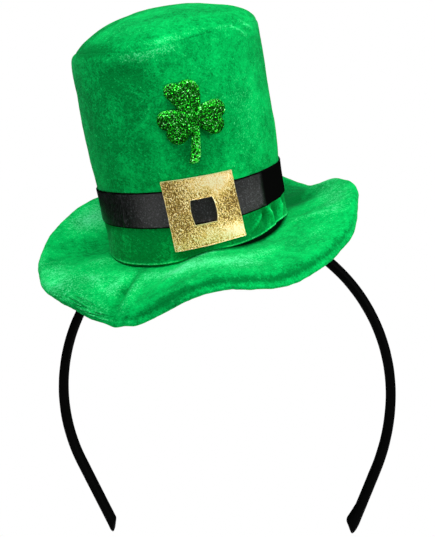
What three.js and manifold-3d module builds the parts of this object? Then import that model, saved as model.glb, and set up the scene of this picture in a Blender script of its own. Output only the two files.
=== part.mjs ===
// Mini top hat of green plush on a covered head band, in millimetres, +Z up.
// The wearer looks towards -Y. The origin is where the top of the band's inner face sits on the head.
import * as THREE from "three";
import { mergeVertices } from "three/addons/utils/BufferGeometryUtils.js";
import Module from "manifold-3d";

// Gap left between pieces that touch
const GAP = 0.3;

// Head band: an elliptical arch whose legs bend inwards to straight ends; left is towards -X
const BAND_THICK = 4.2;
const BAND_THICK_AT_ENDS = { left: 3.9, right: 4.7 };
const BAND_WIDE = 8;
const ARCH_HALF_WIDTH = 72.2;
const ARCH_RISE = 77;
const LEGS = {
  left: { bend: 82, turn: 25.2, straight: 32.4 },
  right: { bend: 98, turn: 19.6, straight: 31.4 },
};
const BAND_STEPS = 62;
const BAND_SIDES = 10;
// Section of the band near its ends: distance from the end, and share of the full thickness and width
const BAND_END = [
  { from: 0, thick: 0.5, wide: 0.55 },
  { from: 1.2, thick: 0.86, wide: 0.85 },
  { from: 3.5, thick: 1.12, wide: 1 },
  { from: 7, thick: 1.14, wide: 1 },
  { from: 12, thick: 1, wide: 1 },
];

// The hat stands square on the arch, leaning to the wearer's right and turned to the left
const HAT_LEAN = 10;
const HAT_TURN = 12;

// Steps round the hat
const AROUND = 80;

// Brim: a padded disc, domed over the band in the middle and wavy outside the crown.
// Angles are from the front of the hat, towards the wearer's left; heights are above the band's outer face.
// seat: height at the crown's foot, rim: height of the middle of the edge, reach: radius of the edge,
// lift: how far the crown's hem stands off the brim
const BRIM_PEAK = 4.9;
const BRIM_PAD = { centre: 4.5, foot: 4.5, rim: 7 };
const BRIM_ROLL = 1.35;
const BRIM_FOLDS = [
  { at: -172, seat: -0.8, rim: 7, reach: 70.5, lift: 0 },
  { at: -144, seat: -1.8, rim: 7.6, reach: 70.5, lift: 0 },
  { at: -122, seat: -3.9, rim: 2.2, reach: 70.3, lift: 0 },
  { at: -96, seat: -6.5, rim: -6.4, reach: 70.4, lift: 0 },
  { at: -75, seat: -8.5, rim: -12.4, reach: 71.8, lift: 0.2 },
  { at: -56, seat: -9.9, rim: -17.2, reach: 70.5, lift: 0.5 },
  { at: -45, seat: -10.2, rim: -22, reach: 70.5, lift: 0.6 },
  { at: -35, seat: -10.4, rim: -24.2, reach: 70.5, lift: 0.6 },
  { at: -20, seat: -9.8, rim: -19.6, reach: 70.5, lift: 0.4 },
  { at: -11, seat: -8.8, rim: -15.2, reach: 70.5, lift: 0.2 },
  { at: 0, seat: -7.7, rim: -13.8, reach: 70.5, lift: 0.1 },
  { at: 21, seat: -7.7, rim: -18.8, reach: 70.5, lift: 0.7 },
  { at: 38, seat: -6.5, rim: -16.2, reach: 70.5, lift: 2 },
  { at: 58, seat: -4.3, rim: -9.2, reach: 70.2, lift: 0.6 },
  { at: 73, seat: -2.9, rim: -0.8, reach: 69.6, lift: 0 },
  { at: 103, seat: -2.1, rim: 1.6, reach: 69.6, lift: 0 },
  { at: 124, seat: -2.3, rim: -4.3, reach: 70, lift: 0 },
  { at: 143, seat: -1.5, rim: 3, reach: 70.5, lift: 0 },
  { at: 168, seat: -1, rim: 5, reach: 70.5, lift: 0 },
];
// Creases that run out across the brim: angle, half width in degrees, depth (a ridge is negative)
// and the stretch between the crown's foot and the edge over which each one runs
const BRIM_CREASES = [
  { at: -98, wide: 10, deep: 1.8, near: 0.03, far: 0.9 },
  { at: -75, wide: 7, deep: -1.8, near: 0.03, far: 0.75 },
  { at: -41, wide: 5, deep: 2.4, near: 0.1, far: 1 },
  { at: -32, wide: 5, deep: -0.9, near: 0.3, far: 1 },
  { at: 58, wide: 7, deep: -1, near: 0.1, far: 0.9 },
  { at: 98, wide: 9, deep: 2.2, near: 0.03, far: 0.8 },
];
// Outline of the brim's section. out: -1 at the centre, 0 at the crown's foot, 1 at the edge;
// up: 1 on the upper cloth, -1 on the lower, with the edge seam drawn in between them
const BRIM_SECTION = [
  { out: -0.62, up: 1 },
  { out: -0.3, up: 1 },
  { out: -0.08, up: 1 },
  { out: 0, up: 1 },
  { out: 0.16, up: 1 },
  { out: 0.34, up: 1 },
  { out: 0.52, up: 1 },
  { out: 0.7, up: 1 },
  { out: 0.83, up: 0.98 },
  { out: 0.93, up: 0.84 },
  { out: 0.985, up: 0.5 },
  { out: 0.965, up: 0.15 },
  { out: 1, up: -0.2 },
  { out: 0.985, up: -0.62 },
  { out: 0.92, up: -0.94 },
  { out: 0.75, up: -1 },
  { out: 0.4, up: -1 },
  { out: 0.03, up: -1 },
  { out: -0.35, up: -1 },
  { out: -0.7, up: -1 },
];

// Crown: a hollow tube of plush with a puffed disc sewn on top
const CROWN_RADIUS = 39.7;
const CROWN_WALL = 3;
const CROWN_FOOT_RADIUS = 38.5;
const CROWN_SEAM_TUCK = 1.4;
const DOME_TOP = 91.4;
// Height of the top seam round the crown, how slack the dome above it is (0.5 is a full round)
// and how far the wall below it swells past the crown's radius
const CROWN_SHAPE = [
  { at: -150, height: 79.4, slack: 0.66, swell: 0.4 },
  { at: -102, height: 78.6, slack: 0.76, swell: 0.9 },
  { at: -60, height: 79, slack: 0.72, swell: 0.5 },
  { at: -30, height: 78.4, slack: 0.66, swell: 0.2 },
  { at: -17, height: 77.8, slack: 0.62, swell: 0 },
  { at: -3, height: 79.4, slack: 0.58, swell: 0 },
  { at: 20, height: 80.3, slack: 0.53, swell: 0 },
  { at: 78, height: 79.4, slack: 0.48, swell: -0.2 },
  { at: 130, height: 79.6, slack: 0.55, swell: 0.1 },
];
// Gathers in the crown below the middle of the hat band: angle, half width in degrees and full depth
const GATHER_REACH = 15;
const GATHERS = [
  { at: 27, wide: 5, deep: 1 },
  { at: 41, wide: 5, deep: 1.3 },
  { at: 56, wide: 6, deep: 1.1 },
];
// Levels of the crown wall, as a share of the way between two named levels, and inset from the outer face
const CROWN_ROWS = [
  { low: "foot", high: "bandLow", share: 0, inset: 0 },
  { low: "foot", high: "bandLow", share: 0.5, inset: 0 },
  { low: "foot", high: "bandLow", share: 1, inset: 0 },
  { low: "bandLow", high: "bandHigh", share: 0.5, inset: 0 },
  { low: "bandLow", high: "bandHigh", share: 1, inset: 0 },
  { low: "bandHigh", high: "seam", share: 0.2, inset: 0 },
  { low: "bandHigh", high: "seam", share: 0.45, inset: 0 },
  { low: "bandHigh", high: "seam", share: 0.72, inset: 0 },
  { low: "bandHigh", high: "seam", share: 0.93, inset: 0.1 },
  { low: "bandHigh", high: "seam", share: 1, inset: CROWN_SEAM_TUCK },
  { low: "bandHigh", high: "seam", share: 1, inset: CROWN_WALL },
  { low: "bandHigh", high: "seam", share: 0.45, inset: CROWN_WALL },
  { low: "bandLow", high: "bandHigh", share: 0.5, inset: CROWN_WALL },
  { low: "foot", high: "bandLow", share: 0, inset: CROWN_WALL },
];
// Rows of the crown top from its middle to the seam and back inside, as shares of its radius
const TOP_ROWS = [
  { out: 0.35, inside: false },
  { out: 0.62, inside: false },
  { out: 0.82, inside: false },
  { out: 0.94, inside: false },
  { out: 1, inside: false },
  { out: 1, inside: true },
  { out: 0.8, inside: true },
  { out: 0.45, inside: true },
];

// Hat band: a satin ribbon drawn tight round the crown, with the heights of its two edges round the hat
const RIBBON_THICK = 0.8;
const RIBBON_CINCH = 1.2;
const RIBBON_CINCH_REACH = 17;
const RIBBON_EDGES = [
  { at: -180, low: 8.4, high: 22.8 },
  { at: -102, low: 8, high: 22.4 },
  { at: -62, low: 7.4, high: 21.8 },
  { at: -23, low: 6, high: 20.4 },
  { at: 0, low: 5.7, high: 20.2 },
  { at: 23, low: 5.9, high: 20 },
  { at: 55, low: 7.4, high: 20.9 },
  { at: 80, low: 8.4, high: 21.2 },
  { at: 130, low: 8.4, high: 22.4 },
];

// Buckle: a square of gilt leathercloth with a barrel-shaped window, bent round the ribbon
const BUCKLE_WIDTH = 29.6;
const BUCKLE_DEPTH = 28.6;
const BUCKLE_THICK = 1.2;
const BUCKLE_HEIGHT = 10.4;
const WINDOW_WIDTH = 8.8;
const WINDOW_DEPTH = 9.7;
const WINDOW_BULGE = 0.7;
const BUCKLE_SIDE_STEPS = 10;

// Shamrock: three heart leaflets and a stem of puffed glitter foam.
// turn: degrees from upright, clockwise; lobeAt: distance out to the two round lobes of the heart,
// lobeOff: half the distance between their centres; lobe: their radius
const SHAMROCK = { at: 3, height: 49.8, thick: 2.4 };
const LEAFLETS = [
  { turn: -18, lobeAt: 10.2, lobeOff: 2.9, lobe: 4.1 },
  { turn: 105, lobeAt: 9.4, lobeOff: 2.9, lobe: 4 },
  { turn: -107, lobeAt: 10.2, lobeOff: 2.9, lobe: 4.1 },
];
const LEAFLET_STEPS = 26;
// How far each leaflet runs past the middle, so that they join, and the share of lobeAt where it is thickest
const LEAFLET_LAP = 1.6;
const LEAFLET_MIDDLE = 0.75;
// Rings of a puffed pad from its middle over the top and under it: shares of its outline and thickness
const PUFF_RINGS = [
  { share: 0.45, full: 1 },
  { share: 0.8, full: 0.84 },
  { share: 1, full: 0.46 },
  { share: 1, full: 0 },
  { share: 0.5, full: 0 },
];
// Stem stations: place across and up from the middle of the leaflets, and width
const STEM = [
  { across: 0.6, up: 1.5, wide: 2.2 },
  { across: 0, up: -5, wide: 2.8 },
  { across: -0.8, up: -11.8, wide: 3.2 },
  { across: -2, up: -15.8, wide: 3.9 },
  { across: -3.2, up: -18.6, wide: 4.1 },
];

const FINISHES = {
  plush: { color: 0x06b54f, roughness: 0.95, metalness: 0 },
  satin: { color: 0x141416, roughness: 0.45, metalness: 0 },
  gilt: { color: 0xc9a94f, roughness: 0.35, metalness: 0.8 },
  glitter: { color: 0x157a1e, roughness: 0.4, metalness: 0.3 },
  cover: { color: 0x0b0b0c, roughness: 0.8, metalness: 0 },
};

const radians = THREE.MathUtils.degToRad;
const lerp = THREE.MathUtils.lerp;
const steps = (count) => Array.from({ length: count }, (_, i) => i);
const ROUND = steps(AROUND).map((i) => -180 + (360 * i) / AROUND);

// A smooth curve round the hat through one column of a table whose rows go round in order of at
function around(table, column) {
  const row = (i) => {
    const turns = Math.floor(i / table.length);
    const found = table[i - turns * table.length];
    return { at: found.at + 360 * turns, value: found[column] };
  };
  const slope = (i) => (row(i + 1).value - row(i - 1).value) / (row(i + 1).at - row(i - 1).at);
  return (deg) => {
    const first = table[0].at;
    const at = first + THREE.MathUtils.euclideanModulo(deg - first, 360);
    let i = 0;
    while (row(i + 1).at <= at) i += 1;
    const span = row(i + 1).at - row(i).at;
    const t = (at - row(i).at) / span;
    const bend = slope(i) * t * (1 - t) ** 2 - slope(i + 1) * t * t * (1 - t);
    return lerp(row(i).value, row(i + 1).value, t * t * (3 - 2 * t)) + span * bend;
  };
}

// A point of the hat from its angle, distance from the crown's axis and height
function hatPoint(deg, radius, height) {
  const angle = radians(deg);
  return new THREE.Vector3(radius * Math.sin(angle), -radius * Math.cos(angle), height);
}

// A closed solid skinned over rows of points. With poles it is capped by a fan at each end,
// and without them the last row joins the first
function skin(rows, poles) {
  const count = rows[0].length;
  const points = rows.flat();
  const faces = [];
  const bands = poles ? rows.length - 1 : rows.length;
  for (let i = 0; i < bands; i += 1) {
    const above = i * count;
    const below = ((i + 1) % rows.length) * count;
    for (let j = 0; j < count; j += 1) {
      const k = (j + 1) % count;
      faces.push(above + j, above + k, below + k, above + j, below + k, below + j);
    }
  }
  if (poles) {
    const end = (rows.length - 1) * count;
    const top = points.push(poles[0]) - 1;
    const bottom = points.push(poles[1]) - 1;
    for (let j = 0; j < count; j += 1) {
      const k = (j + 1) % count;
      faces.push(top, k, j, bottom, end + j, end + k);
    }
  }
  const made = new THREE.BufferGeometry().setFromPoints(points).setIndex(faces);
  return facingOut(made);
}

// Turns the faces of a closed geometry round if they enclose a negative volume
function facingOut(geometry) {
  const place = geometry.getAttribute("position");
  const index = geometry.getIndex();
  const [a, b, c] = steps(3).map(() => new THREE.Vector3());
  let volume = 0;
  for (let i = 0; i < index.count; i += 3) {
    [a, b, c].forEach((corner, n) => corner.fromBufferAttribute(place, index.getX(i + n)));
    volume += a.dot(b.clone().cross(c));
  }
  if (volume < 0) index.array.reverse();
  geometry.computeVertexNormals();
  return geometry;
}

// Brim surfaces
const brimSeat = around(BRIM_FOLDS, "seat");
const brimRim = around(BRIM_FOLDS, "rim");
const brimReach = around(BRIM_FOLDS, "reach");
const hemLift = around(BRIM_FOLDS, "lift");

function creaseDepth(deg, out) {
  return BRIM_CREASES.reduce((sum, { at, wide, deep, near, far }) => {
    const along = THREE.MathUtils.clamp((out - near) / (far - near), 0, 1);
    return sum + deep * Math.sin(Math.PI * along) * Math.exp(-(((deg - at) / wide) ** 2));
  }, 0);
}

function brimPoint(deg, out, up) {
  const seat = brimSeat(deg);
  if (out < 0) {
    const share = 1 + out;
    const pad = lerp(BRIM_PAD.centre, BRIM_PAD.foot, share);
    const top = lerp(BRIM_PEAK, seat, share * share);
    return hatPoint(deg, CROWN_FOOT_RADIUS * share, top + (pad * (up - 1)) / 2);
  }
  const pad = lerp(BRIM_PAD.foot, BRIM_PAD.rim, out);
  const middle = lerp(seat - BRIM_PAD.foot / 2, brimRim(deg), out ** BRIM_ROLL) - creaseDepth(deg, out);
  const radius = lerp(CROWN_FOOT_RADIUS, brimReach(deg), out);
  return hatPoint(deg, radius, middle + (pad * up) / 2);
}

// Height of the brim's upper cloth under the crown's wall
function brimTopAt(deg, radius) {
  const out = radius < CROWN_FOOT_RADIUS
    ? radius / CROWN_FOOT_RADIUS - 1
    : (radius - CROWN_FOOT_RADIUS) / (brimReach(deg) - CROWN_FOOT_RADIUS);
  return brimPoint(deg, out, 1).z;
}

function brim() {
  const rows = BRIM_SECTION.map(({ out, up }) => ROUND.map((deg) => brimPoint(deg, out, up)));
  return skin(rows, [brimPoint(0, -1, 1), brimPoint(0, -1, -1)]);
}

// Crown surfaces
const seamHeight = around(CROWN_SHAPE, "height");
const domeSlack = around(CROWN_SHAPE, "slack");
const wallSwell = around(CROWN_SHAPE, "swell");

const ribbonLow = around(RIBBON_EDGES, "low");
const ribbonHigh = around(RIBBON_EDGES, "high");
const ribbonMiddle = (deg) => (ribbonLow(deg) + ribbonHigh(deg)) / 2;

function gatherDepth(deg, height) {
  const below = THREE.MathUtils.clamp((ribbonMiddle(deg) - height) / GATHER_REACH, 0, 1);
  const depths = GATHERS.map(({ at, wide, deep }) => deep * Math.exp(-(((deg - at) / wide) ** 2)));
  return below * depths.reduce((sum, depth) => sum + depth, 0);
}

// Radius of the crown's outer face: drawn in by the ribbon and towards the foot
function crownRadius(deg, height) {
  const away = (height - ribbonMiddle(deg)) / RIBBON_CINCH_REACH;
  const cinch = RIBBON_CINCH * (away < 0 ? 1 : Math.exp(-away * away));
  return CROWN_RADIUS + wallSwell(deg) - cinch - gatherDepth(deg, height);
}

function crownLevel(name, deg, inset) {
  if (name === "seam") return seamHeight(deg);
  if (name === "bandLow") return ribbonLow(deg);
  if (name === "bandHigh") return ribbonHigh(deg);
  return brimTopAt(deg, CROWN_FOOT_RADIUS - inset) + GAP + hemLift(deg);
}

function crownWall() {
  const rows = CROWN_ROWS.map(({ low, high, share, inset }) =>
    ROUND.map((deg) => {
      const height = lerp(crownLevel(low, deg, inset), crownLevel(high, deg, inset), share);
      return hatPoint(deg, crownRadius(deg, height) - inset, height);
    }),
  );
  return skin(rows);
}

// The crown top's cloth: its outer face, or the same face drawn in by the wall all round for the inside
function topPoint(deg, out, inside) {
  const wall = inside ? CROWN_WALL : 0;
  const seam = seamHeight(deg) + GAP;
  const full = (1 - out * out) ** domeSlack(deg);
  return hatPoint(deg, (CROWN_RADIUS - CROWN_SEAM_TUCK - wall) * out, lerp(seam, DOME_TOP - wall, full));
}

function crownTop() {
  const rows = TOP_ROWS.map(({ out, inside }) => ROUND.map((deg) => topPoint(deg, out, inside)));
  return skin(rows, [topPoint(0, 0, false), topPoint(0, 0, true)]);
}

function hatBand() {
  const section = [
    { share: 0, out: 0 },
    { share: 0.5, out: 0 },
    { share: 1, out: 0 },
    { share: 1, out: RIBBON_THICK },
    { share: 0.5, out: RIBBON_THICK },
    { share: 0, out: RIBBON_THICK },
  ];
  const rows = section.map(({ share, out }) =>
    ROUND.map((deg) => {
      const height = lerp(ribbonLow(deg), ribbonHigh(deg), share);
      return hatPoint(deg, crownRadius(deg, height) + GAP + out, height);
    }),
  );
  return skin(rows);
}

// A point of the trim on the crown: across and up from a place on it, and out from a base radius
function trimPoint(place, base, { x, y, z }) {
  const deg = place.at + THREE.MathUtils.radToDeg(x / base);
  return hatPoint(deg, base + z, place.height + y);
}

// The four sides of a rectangle as a ring of points, with its left and right sides bowed out
function rectangleRing(width, depth, bulge) {
  const corners = [
    [-1, -1],
    [1, -1],
    [1, 1],
    [-1, 1],
  ];
  return corners.flatMap(([x, y], side) => {
    const [nextX, nextY] = corners[(side + 1) % corners.length];
    return steps(BUCKLE_SIDE_STEPS).map((i) => {
      const share = i / BUCKLE_SIDE_STEPS;
      const [across, up] = [lerp(x, nextX, share), lerp(y, nextY, share)];
      const bow = 1 + ((2 * bulge) / width) * (1 - up * up);
      return new THREE.Vector2((across * bow * width) / 2, (up * depth) / 2);
    });
  });
}

function buckle() {
  const base = CROWN_RADIUS - RIBBON_CINCH + 2 * GAP + RIBBON_THICK;
  const place = { at: 0, height: BUCKLE_HEIGHT };
  const outer = rectangleRing(BUCKLE_WIDTH, BUCKLE_DEPTH, 0);
  const inner = rectangleRing(WINDOW_WIDTH, WINDOW_DEPTH, WINDOW_BULGE);
  const ring = (share, lift) =>
    outer.map((corner, i) => {
      const at = corner.clone().lerp(inner[i], share);
      const stand = Math.max(0, crownRadius(0, place.height + at.y) - CROWN_RADIUS + RIBBON_CINCH);
      return trimPoint(place, base, { x: at.x, y: at.y, z: lift + stand });
    });
  const behind = [0, 0.5, 1].map((share) => ring(share, 0));
  const front = [1, 0.5, 0].map((share) => ring(share, BUCKLE_THICK));
  return skin([...behind, ...front]);
}

// Heart outline of a leaflet: its point just past the middle of the shamrock and its notch up +Y
function leafletOutline({ lobeAt, lobeOff, lobe }) {
  const rise = lobeAt + LEAFLET_LAP;
  const start = Math.atan2(rise, lobeOff) - Math.asin(lobe / Math.hypot(rise, lobeOff)) - Math.PI / 2;
  const notch = Math.acos(lobeOff / lobe);
  const heart = new THREE.Shape();
  heart.moveTo(0, -LEAFLET_LAP);
  heart.absarc(lobeOff, lobeAt, lobe, start, Math.PI - notch, false);
  heart.absarc(-lobeOff, lobeAt, lobe, notch, Math.PI - start, false);
  heart.lineTo(0, -LEAFLET_LAP);
  return heart.getSpacedPoints(LEAFLET_STEPS).slice(0, LEAFLET_STEPS);
}

// A puffed pad with a given outline: rings drawn in to its middle over the top and under the base
function puffed(outline, middle, bend) {
  const at = (point, share, full) => {
    const flat = middle.clone().lerp(point, share);
    return bend(new THREE.Vector3(flat.x, flat.y, full * SHAMROCK.thick));
  };
  const rows = PUFF_RINGS.map(({ share, full }) => outline.map((point) => at(point, share, full)));
  return skin(rows, [at(middle, 0, 1), at(middle, 0, 0)]);
}

function stemOutline() {
  const side = (sign) =>
    STEM.map(({ across, up, wide }) => new THREE.Vector2(across + (sign * wide) / 2, up));
  return [...side(-1), ...side(1).reverse()];
}

const wasm = await Module();
wasm.setup();

// A closed geometry as a solid that can be joined to others
function solidOf(geometry) {
  const bare = geometry.clone();
  bare.deleteAttribute("normal");
  const merged = mergeVertices(bare);
  return new wasm.Manifold(
    new wasm.Mesh({
      numProp: 3,
      vertProperties: new Float32Array(merged.getAttribute("position").array),
      triVerts: new Uint32Array(merged.getIndex().array),
    }),
  );
}

function geometryOf(solid) {
  const mesh = solid.getMesh();
  const made = new THREE.BufferGeometry();
  made.setAttribute("position", new THREE.BufferAttribute(new Float32Array(mesh.vertProperties), 3));
  made.setIndex(new THREE.BufferAttribute(new Uint32Array(mesh.triVerts), 1));
  made.computeVertexNormals();
  return made;
}

function shamrock() {
  const base = CROWN_RADIUS + GAP;
  const bend = (point) => trimPoint(SHAMROCK, base, point);
  const turned = ({ turn }, point) => point.rotateAround(new THREE.Vector2(), -radians(turn));
  const leaflets = LEAFLETS.map((leaflet) => {
    const outline = leafletOutline(leaflet).map((point) => turned(leaflet, point));
    return puffed(outline, turned(leaflet, new THREE.Vector2(0, leaflet.lobeAt * LEAFLET_MIDDLE)), bend);
  });
  const { across, up } = STEM[2];
  const stem = puffed(stemOutline(), new THREE.Vector2(across, up), bend);
  return geometryOf([...leaflets, stem].map(solidOf).reduce((joined, solid) => joined.add(solid)));
}

// Centre line of the head band from the left end over the arch to the right end, in the plane of X and Z
const archCentre = BAND_THICK / 2 - ARCH_RISE;

function bandPath() {
  const leg = (side, { bend, turn, straight }) => {
    const angle = radians(turn);
    const bendCentre = side * (ARCH_HALF_WIDTH - bend);
    const [cos, sin] = [Math.cos(angle), Math.sin(angle)];
    const bent = new THREE.Vector2(bendCentre + side * bend * cos, archCentre - bend * sin);
    const end = bent.clone().add(new THREE.Vector2(-side * sin, -cos).multiplyScalar(straight));
    return { angle, bendCentre, bent, end };
  };
  const left = leg(-1, LEGS.left);
  const right = leg(1, LEGS.right);
  const path = new THREE.Path();
  path.moveTo(left.end.x, left.end.y);
  path.lineTo(left.bent.x, left.bent.y);
  path.absarc(left.bendCentre, archCentre, LEGS.left.bend, Math.PI + left.angle, Math.PI, true);
  path.absellipse(0, archCentre, ARCH_HALF_WIDTH, ARCH_RISE, Math.PI, 0, true);
  path.absarc(right.bendCentre, archCentre, LEGS.right.bend, 0, -right.angle, true);
  path.lineTo(right.end.x, right.end.y);
  return path;
}

function headBand() {
  const path = bandPath();
  const length = path.getLength();
  const inner = BAND_END.at(-1).from;
  const middle = steps(BAND_STEPS + 1).slice(1, -1);
  const stations = [
    ...BAND_END,
    ...middle.map((i) => ({ from: lerp(inner, length - inner, i / BAND_STEPS), thick: 1, wide: 1 })),
    ...BAND_END.toReversed().map((end) => ({ ...end, from: length - end.from })),
  ];
  const rows = stations.map(({ from, thick, wide }) => {
    const share = from / length;
    const centre = path.getPointAt(share);
    const along = path.getTangentAt(share);
    const end = share < 0.5 ? BAND_THICK_AT_ENDS.left : BAND_THICK_AT_ENDS.right;
    const full = lerp(BAND_THICK, end, (1 - 2 * share) ** 2);
    return steps(BAND_SIDES).map((i) => {
      const angle = (2 * Math.PI * i) / BAND_SIDES;
      const out = (Math.cos(angle) * thick * full) / 2;
      const across = (Math.sin(angle) * wide * BAND_WIDE) / 2;
      return new THREE.Vector3(centre.x - along.y * out, across, centre.y + along.x * out);
    });
  });
  const ends = [0, 1].map((share) => path.getPointAt(share));
  return skin(rows, ends.map((end) => new THREE.Vector3(end.x, 0, end.y)));
}

function piece(name, geometry, finish) {
  const mesh = new THREE.Mesh(geometry, new THREE.MeshStandardMaterial(FINISHES[finish]));
  mesh.name = name;
  return mesh;
}

// The hat's frame: square to the arch where its normal has the hat's lean, on the band's outer face
function hatFrame() {
  const lean = radians(HAT_LEAN);
  const share = Math.atan((ARCH_HALF_WIDTH / ARCH_RISE) * Math.tan(lean));
  const frame = new THREE.Group();
  frame.position.set(-ARCH_HALF_WIDTH * Math.sin(share), 0, archCentre + ARCH_RISE * Math.cos(share));
  frame.rotation.set(0, -lean, radians(HAT_TURN));
  frame.position.add(new THREE.Vector3(-Math.sin(lean), 0, Math.cos(lean)).multiplyScalar(BAND_THICK / 2));
  return frame;
}

const hat = hatFrame();
hat.add(
  piece("brim", brim(), "plush"),
  piece("crown_wall", crownWall(), "plush"),
  piece("crown_top", crownTop(), "plush"),
  piece("hat_band", hatBand(), "satin"),
  piece("buckle", buckle(), "gilt"),
  piece("shamrock", shamrock(), "glitter"),
);

const headpiece = new THREE.Group();
headpiece.add(piece("head_band", headBand(), "cover"), hat);

export default headpiece;
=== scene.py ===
"""Mini top hat of green plush on a covered head band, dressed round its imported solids."""
import math

import bmesh
import bpy
import numpy as np
from bpy.props import FloatProperty, FloatVectorProperty, PointerProperty
from bpy.types import Operator, Panel, PropertyGroup
from mathutils import Matrix, Vector, noise


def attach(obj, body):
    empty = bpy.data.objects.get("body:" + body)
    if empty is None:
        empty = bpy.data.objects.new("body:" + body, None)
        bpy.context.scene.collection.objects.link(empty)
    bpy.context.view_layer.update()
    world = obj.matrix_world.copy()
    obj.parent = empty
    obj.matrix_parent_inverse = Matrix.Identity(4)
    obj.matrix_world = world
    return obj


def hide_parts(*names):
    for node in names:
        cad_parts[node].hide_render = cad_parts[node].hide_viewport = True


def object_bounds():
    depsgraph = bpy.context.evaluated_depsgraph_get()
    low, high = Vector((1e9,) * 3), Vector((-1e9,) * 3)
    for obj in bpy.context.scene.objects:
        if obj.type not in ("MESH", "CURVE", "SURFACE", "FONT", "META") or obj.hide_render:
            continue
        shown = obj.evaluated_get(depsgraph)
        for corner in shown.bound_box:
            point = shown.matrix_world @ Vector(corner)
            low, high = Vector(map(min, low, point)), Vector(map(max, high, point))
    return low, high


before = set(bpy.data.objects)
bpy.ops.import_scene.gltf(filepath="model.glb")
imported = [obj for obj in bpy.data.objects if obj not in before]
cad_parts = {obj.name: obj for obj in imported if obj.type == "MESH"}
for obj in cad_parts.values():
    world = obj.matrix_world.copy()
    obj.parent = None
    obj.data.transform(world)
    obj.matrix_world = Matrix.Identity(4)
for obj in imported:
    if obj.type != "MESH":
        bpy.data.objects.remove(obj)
CAD_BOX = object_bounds()

bl_info = {
    "name": "Mini top hat headband",
    "version": (1, 0, 0),
    "blender": (4, 5, 0),
    "location": "View3D > Sidebar > Top Hat",
    "description": "Builds a plush mini top hat with its ribbon, buckle and shamrock on a head band",
    "category": "Object",
}

# Lengths in the tables below are in millimetres, and angles in degrees
MM = 0.001
# Gaps for glue and stitches: under the buckle and the shamrock, and between the crown's hem and the brim
BUCKLE_GAP = 0.3
SHAMROCK_GAP = 0.6
HEM_GAP = 0.15


def table(names, *rows):
    """Rows of numbers as a dict of named columns."""
    return dict(zip(names.split(), np.array(rows, float).T))


# The hat stands square on the arch of the band, leaning to the wearer's right and turned to the left
HAT_LEAN = 10
HAT_TURN = 12

# Angles go round from the front of the hat, towards the wearer's left.
# seat: brim height at the crown's foot, rim: height of the middle of its edge, reach: radius of the edge,
# seam: how much of the seam along the edge shows
BRIM_FOLDS = table(
    "at seat rim reach seam",
    (-172, -0.8, 7, 70.5, 0.4),
    (-144, -1.8, 7.6, 70.5, 0.5),
    (-122, -3.9, 2.2, 70.3, 0.3),
    (-96, -6.5, -6.4, 70.4, 0.05),
    (-75, -8.5, -12.4, 71.8, 0),
    (-58, -9.8, -16.9, 70.2, 0.1),
    (-45, -10.2, -22, 70.5, 0.3),
    (-35, -10.4, -24.4, 70.5, 0.6),
    (-28, -10.2, -22.9, 70.5, 1),
    (-20, -9.6, -19.2, 70.5, 1.15),
    (-11, -7.9, -15, 70.5, 1.1),
    (0, -6.6, -14.2, 70.5, 1),
    (21, -8.3, -18.5, 70.5, 1),
    (38, -8.3, -15.5, 70.5, 0.85),
    (58, -6.4, -9.2, 70.2, 0.45),
    (73, -4.3, -0.8, 69.6, 0.2),
    (103, -2.1, 1.6, 69.6, 0.25),
    (124, -2.3, -3.5, 70, 0.4),
    (143, -1.5, 3.6, 70.5, 0.5),
    (168, -1, 5, 70.5, 0.5),
)
# How far the crown's hem stands off the brim
HEM_LIFT = table(
    "at lift",
    (-150, 0),
    (-100, 0),
    (-80, 0.2),
    (-56, 0.6),
    (-40, 0.7),
    (-22, 0.5),
    (-11, 0.1),
    (0, 0),
    (9, 0.4),
    (21, 1.6),
    (38, 2.8),
    (52, 3.3),
    (61, 3),
    (68, 1.6),
    (73, 0.8),
    (85, 0),
    (130, 0),
)
# Creases that run out across the brim: angle at the near and the far end, half width, depth (a ridge is
# negative) and the stretch between the crown's foot (0) and the edge (1)
BRIM_CREASES = table(
    "start end wide deep near far",
    (-105, -97, 11, 2.2, 0, 0.95),
    (-84, -68, 6, -1.3, -0.1, 0.85),
    (-46, -38.5, 2.8, 2.8, 0.1, 1.02),
    (-40, -34, 2.8, -1.4, 0.2, 1.1),
    (-9, -31, 6, -1.3, 0.05, 1),
    (67, 64.5, 2.6, -1.1, 0, 0.9),
    (76, 78, 6, 0.7, 0.02, 0.7),
    (103, 106, 10, 2.4, 0, 0.7),
)
# Wrinkles pressed into the brim along its edge: middle angle and half width, share of the way out, and depth
EDGE_WRINKLES_AT = -53
EDGE_WRINKLES_WIDE = 14
EDGE_WRINKLES_FROM = 0.85
EDGE_WRINKLES_DEEP = 1.8
# How much further in they start for each degree towards the front, over what share of the way they begin,
# and how much painted shade darkens the pile in them
EDGE_WRINKLES_SLANT = 0.004
EDGE_WRINKLES_FADE = 0.06
EDGE_WRINKLES_PAINTED_SHADE = 1.6
# Size of a wrinkle along the edge, in degrees, and across it, and the degrees in which they drift by one
EDGE_WRINKLE_LONG = 7
EDGE_WRINKLE_WIDE = 1.4
EDGE_WRINKLE_DRIFT = 12
# The way across the brim that they are measured along: its flange, and half the thickness of its edge
FLANGE = 31
EDGE_HALF_THICK = 3.5
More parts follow.
